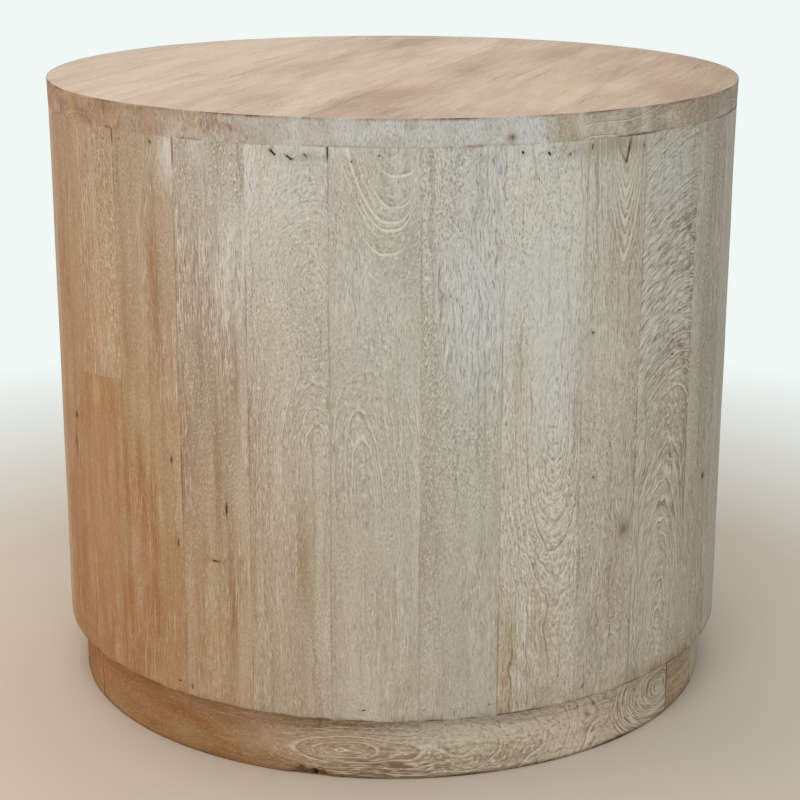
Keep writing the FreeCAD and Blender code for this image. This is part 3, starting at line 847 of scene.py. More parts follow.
def wood_values(where, log, look, seed):
    """The attributes that the washed grain reads.

    where holds the places across, inward and along the grain; log the pith's offset, its depth behind the
    face and the boldness of the rings; look the strokes, tone, warmth, wash and stain. The ring radius is the
    distance from the pith, which wanders along the piece. The grain place drifts sideways with the fibres."""
    across, inward, lengthwise = where
    pith, depth, bold = log
    strokes, tone, warmth, wash, stain = look
    drift = 0.0022 * wander(across, lengthwise, seed, 0.4)
    drift = drift + 0.0004 * wander(across, lengthwise, seed + 1, 0.07)
    ring = np.hypot(across - pith + drift, inward + depth)
    for number, size in ((2, 0.03), (12, 0.011)):
        ring = ring + 0.0004 * wander(across, lengthwise, seed + number, size)
    shift = np.random.default_rng(seed + 3).uniform(-4, 4, 3)
    ones = np.ones_like(ring)
    return {
        "grain": np.stack((across + drift + shift[0], inward + shift[1], lengthwise + shift[2]), axis=-1),
        "ring": ring, "bold": np.clip(bold, 0, 1.5) * ones, "strokes": strokes * ones,
        "stain": np.clip(stain, 0, 1) * ones,
        "tint": np.stack((tone * ones, np.clip(warmth, 0, 1) * ones, np.clip(wash, 0, 1) * ones), axis=-1),
    }


def head_arcs(name, place, drop):
    """Place and strength of listed arcs near a stave's head, from millimetres across it and below the top.

    An arc hangs from its lowest point and rises to each side as a power of the distance. The place grows by
    one from arc to arc, and at one rate near each of them, so that all lines have one height."""
    table = HEAD_ARCS[name]
    start, above, below, tall, *ways = ARC_SHAPES[name]
    middle = start
    for _ in range(2):
        sideways = place - middle
        right, left = (high * np.abs(sideways / wide) ** power for high, wide, power in ways)
        lowest = drop + np.where(sideways > 0, right, left)
        middle = start + above * smooth(-lowest, -70, -45) + below * smooth(lowest, 72, 89)
    at = np.array([arc[0] for arc in table])
    number = np.arange(1, len(at) + 1)
    reach = np.minimum(tall, 0.4 * np.minimum(np.diff(at, prepend=0), np.diff(at, append=200)))
    half = 0.15 * reach / tall
    stops = np.stack((at - reach, at + reach), axis=1).ravel()
    marks = np.stack((number - half, number + half), axis=1).ravel()
    arc = np.interp(lowest, (0, *stops, 300), (0.5, *marks, len(at) + 0.5))
    force = 0.0
    for (depth, left, right, strength), wide in zip(table, reach):
        shown = smooth(sideways, -left - 3, 3 - left) * smooth(-sideways, -right - 3, 3 - right)
        force = force + strength * shown * bell(lowest - depth, wide * 1.6)
    return arc, np.clip(force, 0, 1)


class Stave:
    """One stave: measures from its CAD node, a grid of points over it and the marks on its face, in metres.

    Each row of the grid is a loop round the stave at one height: the curved face, the eased right edge, the
    right joint face, the flat back, the left joint face and the eased left edge."""

    def __init__(self, name, seed, nails, sizes):
        self.name, self.seed, self.sizes, self.top = name, seed, sizes, cad_box[1].z
        points, self.middle, self.half, offset = sector(name)
        self.radius = np.hypot(points[:, 0], points[:, 1]).max()
        self.width = self.half * self.radius
        self.flat = (points[:, :2] @ (math.sin(self.middle), -math.cos(self.middle))).min()
        self.left = points[offset < END_ANGLE - self.half, 2]
        self.right = points[offset > self.half - END_ANGLE, 2]
        mine = nails[np.abs(turned(nails[:, 0] - self.middle)) < self.half]
        self.nails = mine[(mine[:, 1] > points[:, 2].min()) & (mine[:, 1] < points[:, 2].max())]
        self.spots = turned(self.nails[:, 0] - self.middle) * self.radius
        self.knots = []
        for heading, depth, wide, tall, core in KNOTS:
            at = turned(math.radians(heading) - self.middle) * self.radius
            if abs(at) < self.width:
                self.knots.append((at, self.top - 0.001 * depth, wide, tall, core))
        self.lay_grid()
        self.holes, self.halo = self.nail_holes()
        self.notch = self.cut_notch() if name == NOTCH_STAVE else 0 * self.place

    def lay_grid(self):
        """Finds each point's place across the face, its depth behind it, its level and its heading.

        Rows and columns stand closer together round nails and knots. The ends slope as the CAD corners do,
        and the long edges are rounded by a radius that wanders up the stave."""
        sizes, width, radius, joint_points = self.sizes, self.width, self.radius, 4
        grid = sizes.grid * (ARC_GRID if self.name in HEAD_ARCS else 1.0)
        near, tight, loose = (sizes.hole_radius * share for share in (2, 0.4, 0.5))
        step = 0.001 * KNOT_STEP
        columns = np.concatenate([self.spots] + [knot[0] + step * np.arange(-1, 2) for knot in self.knots])
        face = spread(EDGE_STRIP - width, width - EDGE_STRIP, grid, columns, near, tight)
        rows = [self.nails[:, 1]]
        for _, level, _, tall, _ in self.knots:
            count = tall / KNOT_STEP
            rows.append(level + step * np.arange(-round(count), 1.5 + count))
        bands = np.unique(np.round(np.concatenate(rows), 3))
        low, high = min(self.left.min(), self.right.min()), max(self.left.max(), self.right.max())
        height = spread(low + END_STRIP, high - END_STRIP, grid, bands, near, loose)
        share = np.concatenate((low + END_ROWS, height, high - END_ROWS[::-1]))[:, None]
        share = (share - low) / (high - low)
        rise = share * (high - low)
        worn_left, worn_right = (
            np.clip(sizes.edge * (0.7 + 0.7 * wander(0 * rise, rise, self.seed + number, 0.12)), *EDGE_LIMITS)
            for number in (5, 45)
        )
        ones = np.ones_like(share)
        joint = np.linspace(0.25, 1, joint_points) * (radius - self.flat / math.cos(self.half))
        back = np.linspace(1, -1, BACK_POINTS)[1:-1] * self.half
        self.place = np.concatenate((
            ones * face, width - worn_right * (1 - np.sin(EDGE_ARC)), ones * np.full(joint_points, width),
            ones * (back * radius), ones * np.full(joint_points, -width),
            (worn_left * (1 - np.sin(EDGE_ARC)) - width)[:, ::-1],
        ), axis=1)
        self.inward = np.concatenate((
            0 * ones * face, worn_right * (1 - np.cos(EDGE_ARC)), ones * joint,
            ones * (radius - self.flat / np.cos(back)), ones * joint[::-1],
            (worn_left * (1 - np.cos(EDGE_ARC)))[:, ::-1],
        ), axis=1)
        lean = (self.place / width + 1) / 2
        self.floor = blend(self.left.min(), self.right.min(), lean)
        self.roof = blend(self.left.max(), self.right.max(), lean)
        self.level = blend(self.floor, self.roof, share)
        self.drop = self.top - self.level
        self.heading = self.middle + self.place / radius

    def sway(self, number, size):
        """Seeded wander over the stave's face."""
        return wander(self.place, self.level, self.seed + number, size)

    def nail_holes(self):
        """How open the face is over each nail, one in a short slot with a soft edge, and a halo round it."""
        holes, halo = 0 * self.place, 0 * self.place
        for spot, (heading, level) in zip(self.spots, self.nails):
            table = UPPER_MARKS if level > self.top / 2 else LOWER_MARKS
            marks = [mark for mark in table if abs(math.degrees(heading) - mark[0]) < MARK_REACH]
            _, length, slant, open_share = marks[0] if marks else FILLED_MARK
            slant = math.radians(slant)
            x, y = self.place - spot, self.level - level
            far = np.abs(x * math.cos(slant) + y * math.sin(slant)) - 0.001 * length
            away = np.hypot(np.maximum(far, 0), -x * math.sin(slant) + y * math.cos(slant))
            size = self.sizes.hole_radius * (0.6 + 0.4 * open_share)
            holes = np.maximum(holes, open_share * (1 - smooth(away, size * 0.6, size * 1.3)))
            halo = np.maximum(halo, open_share * bell(away, 0.003))
        return holes, halo

    def cut_notch(self):
        """The notch under the rim: two slanting cuts that meet in a point, each a bell across, and broken."""
        climb = (NOTCH_DROP - self.drop) / NOTCH_HEIGHT
        side = np.degrees(self.heading) - NOTCH_HEADING
        steep, shallow = np.abs(side - 0.8 * climb) / 0.28, np.abs(side + 2.4 * climb) / 0.24
        cut = np.minimum(steep, shallow + 0.4 * (climb > 0.6))
        return smooth(climb, -0.08, 0.05) * bell(cut, 1) * np.clip(0.6 + 0.6 * self.sway(15, 0.012), 0.25, 1)

    def knot_marks(self):
        """Soft oval knots and slits with a dark core, and how far the fibres bend aside round them."""
        mask, bend = 0 * self.place, 0 * self.place
        for at, level, wide, tall, core in self.knots:
            x = self.place - at
            far = np.hypot(x / (wide * 0.001), (self.level - level) / (tall * 0.001))
            mask = np.maximum(mask, 0.26 * bell(far * 0.9, 1) + core * bell(far * 2.2, 1))
            bend = bend + np.tanh(x / (wide * 0.0004)) * min(wide, tall, 5) * 0.0012 * bell(far, 2.2)
        return mask, bend

    def dirt(self):
        """Dirt in the joints and under the rim, dark patches near the foot, and painted shade with some dirt
        along the lower edge: soft lines whose strength wanders.
        """
        place, level, drop, seed = self.place, self.level, self.drop, self.seed
        above = level - self.floor
        seam = np.clip(0.05 + 0.3 * wander(np.sign(place), level, seed + 8, 0.11), 0, 0.5)
        seam = seam * bell(self.width - np.abs(place), 0.0004)
        for joint, depth, strength in JOINT_GAPS:
            gap = strength * bell(np.radians(beside(self.heading, joint)) * JOINT_RADIUS, 0.0008)
            gap = gap * smooth(-drop, -0.001 * depth - 0.003, 0.004 - 0.001 * depth)
            seam = np.maximum(seam, gap)
        under = 0.22 * wander(place, 0 * level, seed + 9, 0.05) + OPEN_LINE * opened(self.heading)
        under = 0.06 + smooth(-drop, -0.03, -0.02) * np.clip(under, 0, 0.75)
        under = under * bell(self.roof - level, 0.0005)
        foot = smooth(drop, 0.37, 0.39)
        darkening = foot * np.clip(wander(place, level * 2, seed + 10, 0.045) - 0.1, 0, 1) * 0.14
        # A dark line along the lower edge: painted shade, with some dirt in it.
        lower = 0.1 + foot * np.clip(0.35 + 0.4 * wander(place, 0 * level, seed + 11, 0.03), 0, 0.7)
        specks = smooth(wander(place, level * 0.6, seed + 14, 0.02), -0.2, 0.7) * bell(above, 0.004)
        return np.maximum.reduce([seam, under, darkening, bell(above, 0.0012) * lower, 0.34 * foot * specks])

    def rings(self):
        """The loops of points, each at its heading and level, at the radius less its depth and a relief.

        The relief is the planed wave, the eased lower edge, the nail holes and the notch. It fades to nothing
        behind the face."""
        sizes = self.sizes
        relief = sizes.wave * (1 + self.sway(6, 0.09)) * smooth(self.roof - self.level, 0, 0.008)
        relief = relief + eased(self.level - self.floor, sizes.edge)
        relief = relief + sizes.hole_depth * self.holes + NOTCH_DEPTH * self.notch
        depth = self.inward + relief * np.clip(1 - self.inward / RELIEF_DEPTH, 0, 1)
        return upright(self.radius - depth, self.heading, self.level)

    def figure(self):
        """Lines of pith, depth and boldness and tones at both ends: given, or seeded where none are."""
        random = np.random.default_rng(self.seed + 7)
        lines = STAVE_FIGURES.get(self.name) or (
            ((0, random.uniform(-30, 30)), (220, random.uniform(-20, 20)), (440, random.uniform(-30, 30))),
            [(at, random.uniform(4, 36)) for at in (0, 110, 220, 330, 440)],
            [(at, random.uniform(0.15, 0.6)) for at in (0, 150, 300, 440)],
        )
        tones = STAVE_TONES.get(self.name)
        return lines, tones or random.uniform((0.32, 0.02, 0.7), (0.58, 0.3, 1.1), (2, 3))

    def values(self):
        """The wood's attributes: tones from head to foot, then joints, filler, streaks, wash and stains."""
        drop, heading = self.drop, self.heading
        (pith, depth, bold), tones = self.figure()
        tone, warmth, strokes = (blend(head, foot, smooth(drop, 0.03, 0.42)) for head, foot in zip(*tones))
        run = joint_tones(heading, drop)
        tone, warmth = tone + run, warmth + 0.3 * run
        filler = np.clip(patches(FILLER, heading, drop), 0, 1)
        tone, strokes = blend(tone, 0.6, filler), strokes * (1 - 0.75 * filler)
        streaks = patches(BROWN_STREAKS, heading + 0.004 * self.sway(13, 0.08), drop)
        tone, warmth = tone + 0.6 * streaks, warmth + 0.4 * streaks
        strokes = strokes * (1 - 0.5 * np.clip(streaks, 0, 1))
        wash = patches(WASH_SMEARS, heading, drop) + 0.35 * (1 - smooth(drop, 0.02, 0.3)) * (1 - warmth)
        knots, bend = self.knot_marks()
        stain = np.maximum.reduce([0.8 * self.holes, 0.14 * self.halo, knots, self.notch, self.dirt()])
        values = wood_values(
            (self.place + bend, self.inward, self.level),
            (0.001 * along(pith, drop), 0.001 * along(depth, drop), along(bold, drop)),
            (strokes, tone, warmth, wash * (1 - filler), stain), STAVE_WOOD_SEED + self.seed,
        )
        if self.name in HEAD_ARCS:
            values["arc"], values["arc_force"] = head_arcs(self.name, self.place * 1000, drop * 1000)
        return values


class DRUM_OT_staves(bpy.types.Operator):
    """Builds the staves: a sector with eased corners carried up the drum, with nail holes and a figure"""

    bl_idname = "drum.staves"
    bl_label = "Staves"

    def execute(self, context):
        material = washed_material("washed_staves")
        nails = np.concatenate([nail_places(name) for name in ("upper_stave_nails", "lower_stave_nails")])
        for number, name in enumerate(nodes_named("stave_")):
            stave = Stave(name, SEED_STEP * number, nails, context.scene.drum_sizes)
            dress(stave, material)
        return {"FINISHED"}


class TopBoard:
    """One board of the top: a loop over its face, round the rim, back below and round the other rim, carried
    across the board. Places are metres from the table's middle, x across the boards and t along them."""

    def __init__(self, name, seed, way, floor, sizes):
        self.name, self.seed, self.sizes = name, seed, sizes
        self.radius, self.roof, self.floor = cad_box[1].x, cad_box[1].z, floor
        self.across, self.along = (math.cos(way), -math.sin(way)), (math.sin(way), math.cos(way))
        place = node_points(name)[:, :2] @ self.across
        self.start, self.end = place.min(), place.max()
        self.lay_grid()

    def lay_grid(self):
        """Lays the loops: x is the sine of an even turn times the radius, and t a share of the chord there.

        So they stand closer together towards the rim of the outer boards, and a few more lie at the joints.
        The rim is rounded by a quarter circle above and below and sanded on a slight slope."""
        sizes, radius, roof, floor = self.sizes, self.radius, self.roof, self.floor
        limit = math.sin(math.radians(89.4))
        first, last = (math.asin(max(-limit, min(limit, place / radius))) for place in (self.start, self.end))
        turn = np.linspace(first, last, max(8, round((last - first) * radius / sizes.grid)))
        ends = radius * np.sin(first) + JOINT_LIP[1:], radius * np.sin(last) - JOINT_LIP[1:]
        x = np.sort(np.concatenate((radius * np.sin(turn), *ends)))[:, None]
        reach = np.sqrt(radius**2 - x**2)
        worn, under = sizes.rim, sizes.rim * 0.2
        wall = np.linspace(roof - worn, floor + under, WALL_POINTS)[1:-1]
        sanded = RIM_SLOPE * (roof - worn - wall) / (roof - worn - floor)
        rounded, hollow = 1 - np.sin(RIM_ARC), 1 - np.cos(RIM_ARC)
        rim_level = np.concatenate((roof - worn * hollow, wall, floor + under * rounded))
        rim_fall = np.concatenate((worn * rounded, sanded, RIM_SLOPE + under * hollow))
        face = np.linspace(-1, 1, 2 * round(radius / (sizes.grid * 1.15)) + 1)[1:-1]
        below = np.linspace(1, -1, BELOW_POINTS)[1:-1]
        edge = np.ones(len(rim_fall))
        share = np.concatenate((face, edge, below, -edge))[::-1]
        fall = np.concatenate((0 * face, rim_fall, 0 * below, rim_fall[::-1]))[::-1]
        level = np.concatenate((0 * face + roof, rim_level, 0 * below + floor, rim_level[::-1]))[::-1]
        on_rim = np.abs(share) > 0.9999
        scale = 1 - np.where(on_rim, fall, worn) / radius
        self.t = share * reach * scale
        self.x = x * np.where(on_rim, scale, 1.0) + 0 * self.t
        self.rim = np.maximum(on_rim + 0 * self.t, smooth(0.004 - reach, 0, 0.001))
        self.ease_joints(x, level)
        self.find_headings()

    def ease_joints(self, x, level):
        """Eases the edges between boards, and lets the face wave as a planed one does."""
        sizes, radius, roof, floor = self.sizes, self.radius, self.roof, self.floor
        self.gap = np.minimum(x - x.min(), x.max() - x)
        self.jointed = np.ones_like(x)
        middle = (x.min() + x.max()) / 2
        # The first and the last board have no joint on their outer side.
        if self.start < 0.05 - radius:
            self.jointed[x < middle] = 0
        if self.end > radius - 0.05:
            self.jointed[x > middle] = 0
        level = level - np.where(level > (floor + roof) / 2, self.jointed * eased(self.gap, sizes.joint), 0.0)
        planed = np.where(level > roof - 0.002, 1.0, 0.0) * (1 - self.rim)
        self.level = level - planed * sizes.wave * (1 + wander(self.x, self.t, self.seed, 0.11))
        self.drop = roof - self.level

    def find_headings(self):
        """Finds where each point lies seen from above, its heading and how far round the back it is."""
        self.plan = self.x[..., None] * self.across + self.t[..., None] * self.along
        self.heading = heading_of(self.plan)
        if self.start < self.radius * self.across[1] < self.end:
            # The board at the back counts its headings on past half a turn, so that its rim has no break.
            self.heading = np.where(self.heading < -math.pi / 2, self.heading + 2 * math.pi, self.heading)
        self.degrees = np.degrees(self.heading)
        self.back = smooth(-self.degrees, 75, 125)

    def rings(self):
        """The loops of points, from the plan and the level."""
        return np.concatenate((self.plan, self.level[..., None]), axis=-1)

    def face_tone(self):
        """Tone of the face: listed patches with wavy edges and soft streaks, with painted shade towards the
        right and the front and painted light towards the left.
        """
        x, t, seed = self.x, self.t, self.seed
        tone = TOP_TONES[self.name][0]
        wavy = x + 0.004 * wander(x * 3, t, seed + 7, 0.06)
        for sideways, lengthwise, wide, long, strength in TOP_PATCHES:
            tone = tone + strength * bell(wavy * 1000 - sideways, wide) * bell(t * 1000 - lengthwise, long)
        tone = tone + 0.16 * wander(x * 6, t, seed + 3, 0.16) + 0.1 * wander(x * 5, t * 0.7, seed + 4, 0.035)
        east, north = np.moveaxis(self.plan, -1, 0) / self.radius
        # Painted shade towards the right and the front, and painted light towards the left.
        tone = tone + 0.5 * smooth(east, 0.35, 1.05) - 0.22 * smooth(-east, 0.0, 0.5)
        return tone + 0.24 * smooth(-north, 0.62, 1.0)

    def rim_sway(self, number, size, drawn=2.0):
        """Seeded wander round the rim and down it, drawn closer down it by a factor."""
        return wander(self.heading * self.radius, drawn * self.drop, self.seed + number, size)

    def rim_look(self):
        """Tone, warmth and wash of the rim: the board's own, then darker stretches, clouds and smears."""
        _, tone, warmth, wash = TOP_TONES[self.name]
        tone, warmth = tone - 0.25 * self.back, warmth * (1 - 0.8 * self.back)
        for middle, wide, darker in RIM_TONES:
            tone = tone + darker * bell(beside(self.heading, middle), wide)
        tone = tone + (0.2 + 0.4 * smooth(self.degrees, 22, 30)) * self.rim_sway(5, 0.035)
        tone = tone + 0.25 * self.rim_sway(10, 0.009, 0.3)
        wash = wash * np.clip(1 + 0.7 * self.rim_sway(11, 0.04), 0, 1.6)
        return tone, warmth, wash + 0.5 * patches(WASH_SMEARS, self.heading, self.drop)

    def stain(self):
        """Dirt: thin lines in the joints and along the rim's edges and brown scuffs, and a brown darkening
        towards the rim's sides.
        """
        x, t, rim, degrees, seed = self.x, self.t, self.rim, self.degrees, self.seed
        seam = (1 - rim) * self.jointed * bell(self.gap, 0.0005)
        seam = seam * np.clip(0.14 * wander(t, 0 * t, seed + 1, 0.1), 0, 0.2)
        brow = bell(self.drop, 0.001) * np.clip(0.34 + 0.3 * wander(x, t, seed + 6, 0.05), 0.1, 0.7)
        foot = np.clip(0.04 + 0.2 * wander(x, t, seed + 2, 0.06) + OPEN_LINE * opened(self.heading), 0, 0.75)
        # Darker and browner towards the rim's left and right sides, less so at the back.
        darkening = 0.01 + 0.12 * smooth(-degrees, 2, 22) + 0.2 * smooth(-degrees, 28, 52)
        darkening = (darkening + 0.12 * smooth(degrees, 44, 58)) * (1 - 0.8 * self.back)
        darkening = darkening * (1 + 0.3 * self.rim_sway(12, 0.03))
        foot = foot * bell(self.level - self.floor, 0.0005)
        scuff = patches(RIM_SCUFFS, self.heading, self.drop)
        return np.maximum(seam, rim * np.maximum.reduce([brow, foot, darkening, scuff]))

    def values(self):
        """The wood's attributes: one look for the face, another for the rim, whose rings sweep across at
        the right and stand round an eye at the left."""
        x, t, rim, degrees, drop, seed = self.x, self.t, self.rim, self.degrees, self.drop, self.seed
        random = np.random.default_rng(seed)
        pith, depth, bold = (
            along([(at, random.uniform(*limits)) for at in (-260, -130, 0, 130, 260)], t)
            for limits in ((-30, 30), (6, 40), (0.05, 0.3))
        )
        figured = 0.85 * smooth(degrees, 22.4, 32) + 0.75 * smooth(-degrees, 46, 52) * (1 - 0.7 * self.back)
        rim_tone, rim_warmth, rim_wash = self.rim_look()
        strokes = 0.4 + 0.4 * smooth(wander(x, t, seed + 13, 0.12), 0, 0.8)
        values = wood_values(
            (x - (self.start + self.end) / 2, drop * (1 - 0.75 * rim), t),
            (0.001 * pith, 0.001 * depth, blend(bold, figured, rim)),
            (blend(strokes, 0.8, rim), blend(self.face_tone(), rim_tone, rim), blend(1, rim_warmth, rim),
             rim_wash * rim, self.stain()), seed,
        )
        swept = 0.03 + 1.1 * drop + 0.16 * self.radius * self.heading + 0.003 * self.rim_sway(8, 0.09, 1.0)
        eye = np.hypot(0.35 * (degrees - RIM_EYE[0]) * math.radians(self.radius), drop - RIM_EYE[1])
        eye = eye + 0.0006 * wander(t, drop, seed + 9, 0.02)
        values["ring"] = blend(values["ring"], np.where(degrees < 0, eye, swept), rim)
        return values


class DRUM_OT_top_boards(bpy.types.Operator):
    """Builds the boards of the top: a long section with rounded rim ends carried across each board"""

    bl_idname = "drum.top_boards"
    bl_label = "Top Boards"

    def execute(self, context):
        colours = context.scene.drum_colours
        material = washed_material(
            "washed_top", warm_pale=colours.top_pale, warm_shade=colours.top_shade, rose=colours.top_rose,
            olive=colours.top_straw,
        )
        names = nodes_named("top_board_")
        way, floor = self.grain_way(names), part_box(names[0])[0].z
        for number, name in enumerate(names):
            board = TopBoard(name, TOP_SEED + SEED_STEP * number, way, floor, context.scene.drum_sizes)
            dress(board, material)
        return {"FINISHED"}

    def grain_way(self, names):
        """Heading of the boards' length: the one across which a middle board is narrowest."""
        points = node_points(names[len(names) // 2])[:, :2]
        headings = np.radians(np.arange(-9000, 9000) / 100)
        width = np.ptp(points @ np.stack((np.cos(headings), -np.sin(headings))), axis=0)
        return float(headings[width.argmin()])


class PlinthLength:
    """One length of the plinth: a loop up the outer face, over the top, down the inside and back below, with
    eased outer edges, carried round the ring."""

    def __init__(self, name, seed, sizes):
        self.name, self.seed, self.sizes = name, seed, sizes
        points, middle, self.half, _ = sector(name)
        away = np.hypot(points[:, 0], points[:, 1])
        self.inner, self.outer = away.min(), away.max()
        self.floor, self.roof = points[:, 2].min(), points[:, 2].max()
        self.lay_grid(middle)
        self.break_foot()

    def lay_grid(self, middle):
        """Lays the loops: one section of distances from the axis and levels, with quarter circles at the
        outer edges, is carried to each heading, and the headings are closer together at the joints."""
        grid, ease, outer, floor, roof = self.sizes.grid, PLINTH_EASE, self.outer, self.floor, self.roof
        wall = spread(floor + ease, roof - ease, grid)[1:-1]
        deck = np.linspace(outer - ease, self.inner, DECK_POINTS)[1:]
        rounded, hollow = ease * (1 - np.sin(PLINTH_ARC)), ease * (1 - np.cos(PLINTH_ARC))
        away = np.concatenate((
            outer - rounded, 0 * wall + outer, outer - hollow, deck, np.full(INSIDE_POINTS - 2, self.inner),
            deck[::-1],
        ))[::-1]
        level = np.concatenate((
            floor + hollow, wall, roof - rounded, 0 * deck + roof,
            np.linspace(roof, floor, INSIDE_POINTS)[1:-1], 0 * deck + floor,
        ))[::-1]
        lip, inset = JOINT_LIP / outer, 0.0016 / outer
        turn = spread(inset - self.half, self.half - inset, grid / outer)
        turn = np.concatenate((lip - self.half, turn, self.half - lip[::-1]))[:, None]
        self.away, self.level, self.turn = away + 0 * turn, level + 0 * turn, turn + 0 * away
        self.heading = (middle + turn) + 0 * away
        self.degrees = np.degrees(turned(self.heading))
        self.face = smooth(self.away, outer - 0.0012, outer - 0.0002)
        self.gap = (self.half - np.abs(self.turn)) * outer

    def sway(self, seed, size, climb=1.0):
        """Seeded wander round the outer face and up it, or round it alone."""
        return wander(self.heading * self.outer, climb * self.level, seed, size)

    def break_foot(self):
        """The broken foot: a low stretch with a ragged upper edge, and a crack that rises from the floor."""
        start, end, high = PLINTH_CHIP
        top = 0.001 * high * smooth(self.degrees, start, start + 3.0) * smooth(-self.degrees, -end, 1.2 - end)
        top = top * (0.62 + 0.38 * self.sway(77, 0.012, 0))
        self.chip = self.face * smooth(top - self.level, -0.0008, 0.0012) * (top > 0.0004)
        self.crack = bell(self.degrees - PLINTH_CRACK, 0.45)

    def rings(self):
        """The loops of points, each at its heading and level, at its distance from the axis less what the
        planed wave, the eased joints, the chip and the crack take off the outer face."""
        sizes = self.sizes
        inward = self.face * (sizes.wave * (1 + self.sway(self.seed, 0.08)) + eased(self.gap, 0.0006))
        inward = inward + self.chip * sizes.chip * (0.35 + 0.65 * np.clip(self.sway(78, 0.009), 0, 1))
        inward = inward + 0.004 * self.face * self.crack * smooth(0.0045 - self.level, 0, 0.002)
        return upright(self.away - inward, self.heading, self.level)

    def values(self):
        """The wood's attributes: the front length has its own figure, the others a seeded one. Dirt lies in
        the joints, painted shade with some dirt in a band under the overhanging staves, a darkening along the
        floor, and dirt, painted shade and a painted shadow in the broken foot."""
        values = self.front_figure() if self.name == PLINTH_FRONT else self.plain_figure()
        # Painted shade with some dirt in it: a band along the top of the outer face, under the overhanging
        # staves.
        upper = np.clip(0.25 + 0.4 * self.sway(self.seed + 5, 0.09, 0), 0, 0.5)
        upper = upper * smooth(self.level, self.roof - 0.007, self.roof)
        # The outer face is darker over its lowest 4 mm, along the floor.
        foot = np.clip(0.6 + 0.3 * self.sway(self.seed + 6, 0.05, 0), 0.3, 0.9)
        foot = foot * smooth(0.004 - self.level, 0, 0.004)
        # Painted shadow in the crack at the foot, and painted shade with some dirt in the chip.
        wedge = self.crack * smooth(0.006 - self.level, 0, 0.003)
        stain = [bell(self.gap, 0.0007) * 0.7, self.face * upper, self.face * foot, self.chip * 0.6, wedge]
        values["stain"] = np.clip(np.maximum.reduce(stain), 0, 1)
        return values

    def plain_figure(self):
        """A seeded pith and tone; one length turns brown towards its end at the left, partly the wood's own
        and partly painted warm light.
        """
        random = np.random.default_rng(self.seed)
        pith, depth = random.uniform((-0.01, 0.005), (0.01, 0.02))
        filler = self.name == "plinth_filler"
        tone, warmth = (0.52, 0.5) if filler else random.uniform((0.35, 0.05), (0.55, 0.3))
        brown = smooth(self.degrees, -110, -75) if self.name == PLINTH_LEFT else 0.0
        sunk = self.outer - self.away * np.cos(self.turn)
        return wood_values(
            (self.level - (self.floor + self.roof) / 2, sunk, self.away * np.sin(self.turn)),
            (pith, depth + 0 * sunk, 0.5),
            (1 - 0.6 * brown, blend(tone, 0.85, brown), blend(warmth, 1, brown), 0.0, 0.0), self.seed,
        )

    def front_figure(self):
        """Figure of the front length: rings round a long eye blend, by a soft minimum, into rings round a
        pith near its right end. Both are distances in millimetres on the unrolled face."""
        degrees, level, outer = self.degrees, self.level, self.outer
        x = np.radians(degrees - PLINTH_EYE[0]) * outer * 1000
        z = level * 1000 - PLINTH_EYE[1]
        left, right = np.maximum(-x, 0), np.maximum(x, 0)
        reach = 9.5 * np.tanh(left / 27) + 0.06 * left + 8.5 * np.tanh(right / 27) + 0.02 * right
        reach = reach + 0.32 * np.maximum(right - 96, 0)
        eye = np.hypot((z + 0.02 * left - 0.02 * right) * (1 - 0.3 * smooth(right, 10, 60)), reach)
        sideways = np.radians(degrees - PLINTH_PITH[0]) * outer * 1000 * 0.62
        pith = np.hypot(level * 1000 - PLINTH_PITH[1], sideways)
        depth = 0.02 + 0.6 * (outer - self.away) - 0.004 * np.log(np.exp(-eye / 4) + np.exp(-(pith + 6) / 4))
        streaks = smooth(0.03 - level, 0, 0.02) * smooth(degrees, -14, -4) * smooth(-degrees, -30, -20)
        bold = 0.3 + 0.6 * smooth(degrees, -21, -13) - 0.3 * smooth(degrees, 2, 10) + 0.3 * streaks
        meeting = bell(eye - pith - 6, 6) * smooth(degrees, 24, 30)
        bold = (bold + 0.65 * smooth(degrees, 27, 38)) * (1 - meeting)
        # Browner towards the left: partly the wood's own, partly painted warm light from the left.
        warmth = 0.16 + 0.84 * smooth(-degrees, -4, 40)
        tone = 0.5 + 0.3 * smooth(-degrees, 0, 40) - 0.5 * smooth(degrees, 0, 14) + 0.4 * streaks
        tone = tone + 0.26 * smooth(degrees, 31, 44)
        wash = 0.4 * smooth(level, 0.02, 0.034) * smooth(degrees, -6, 6) * smooth(-degrees, -34, -18)
        strokes = 1 - 0.45 * smooth(-degrees, 8, 26) + 0.5 * smooth(degrees, -2, 10)
        values = wood_values(
            (level, 0 * level, self.away * np.sin(self.turn)), (0.0, depth, bold),
            (strokes, tone, warmth, wash, 0.0), self.seed,
        )
        values["ring"] = depth + 0.0009 * wander(np.radians(degrees) * outer, level, self.seed + 4, 0.03)
        return values


class DRUM_OT_plinth(bpy.types.Operator):
    """Builds the plinth: a four-sided section with eased edges carried round each length of the ring"""

    bl_idname = "drum.plinth"
    bl_label = "Plinth"

    def execute(self, context):
        colours = context.scene.drum_colours
        material = washed_material(
            "washed_plinth", pale=colours.plinth_pale, shade=colours.plinth_shade,
            warm_pale=colours.plinth_tan, warm_shade=colours.plinth_brown, liming=colours.plinth_liming,
        )
        for number, name in enumerate(nodes_named("plinth_segment", "plinth_filler")):
            length = PlinthLength(name, PLINTH_SEED + SEED_STEP * number, context.scene.drum_sizes)
            dress(length, material)
        return {"FINISHED"}


def coat(names, material):
    """Gives CAD nodes that keep their own meshes their material."""
    for name in names:
        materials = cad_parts[name].data.materials
        materials.clear()
        materials.append(material)


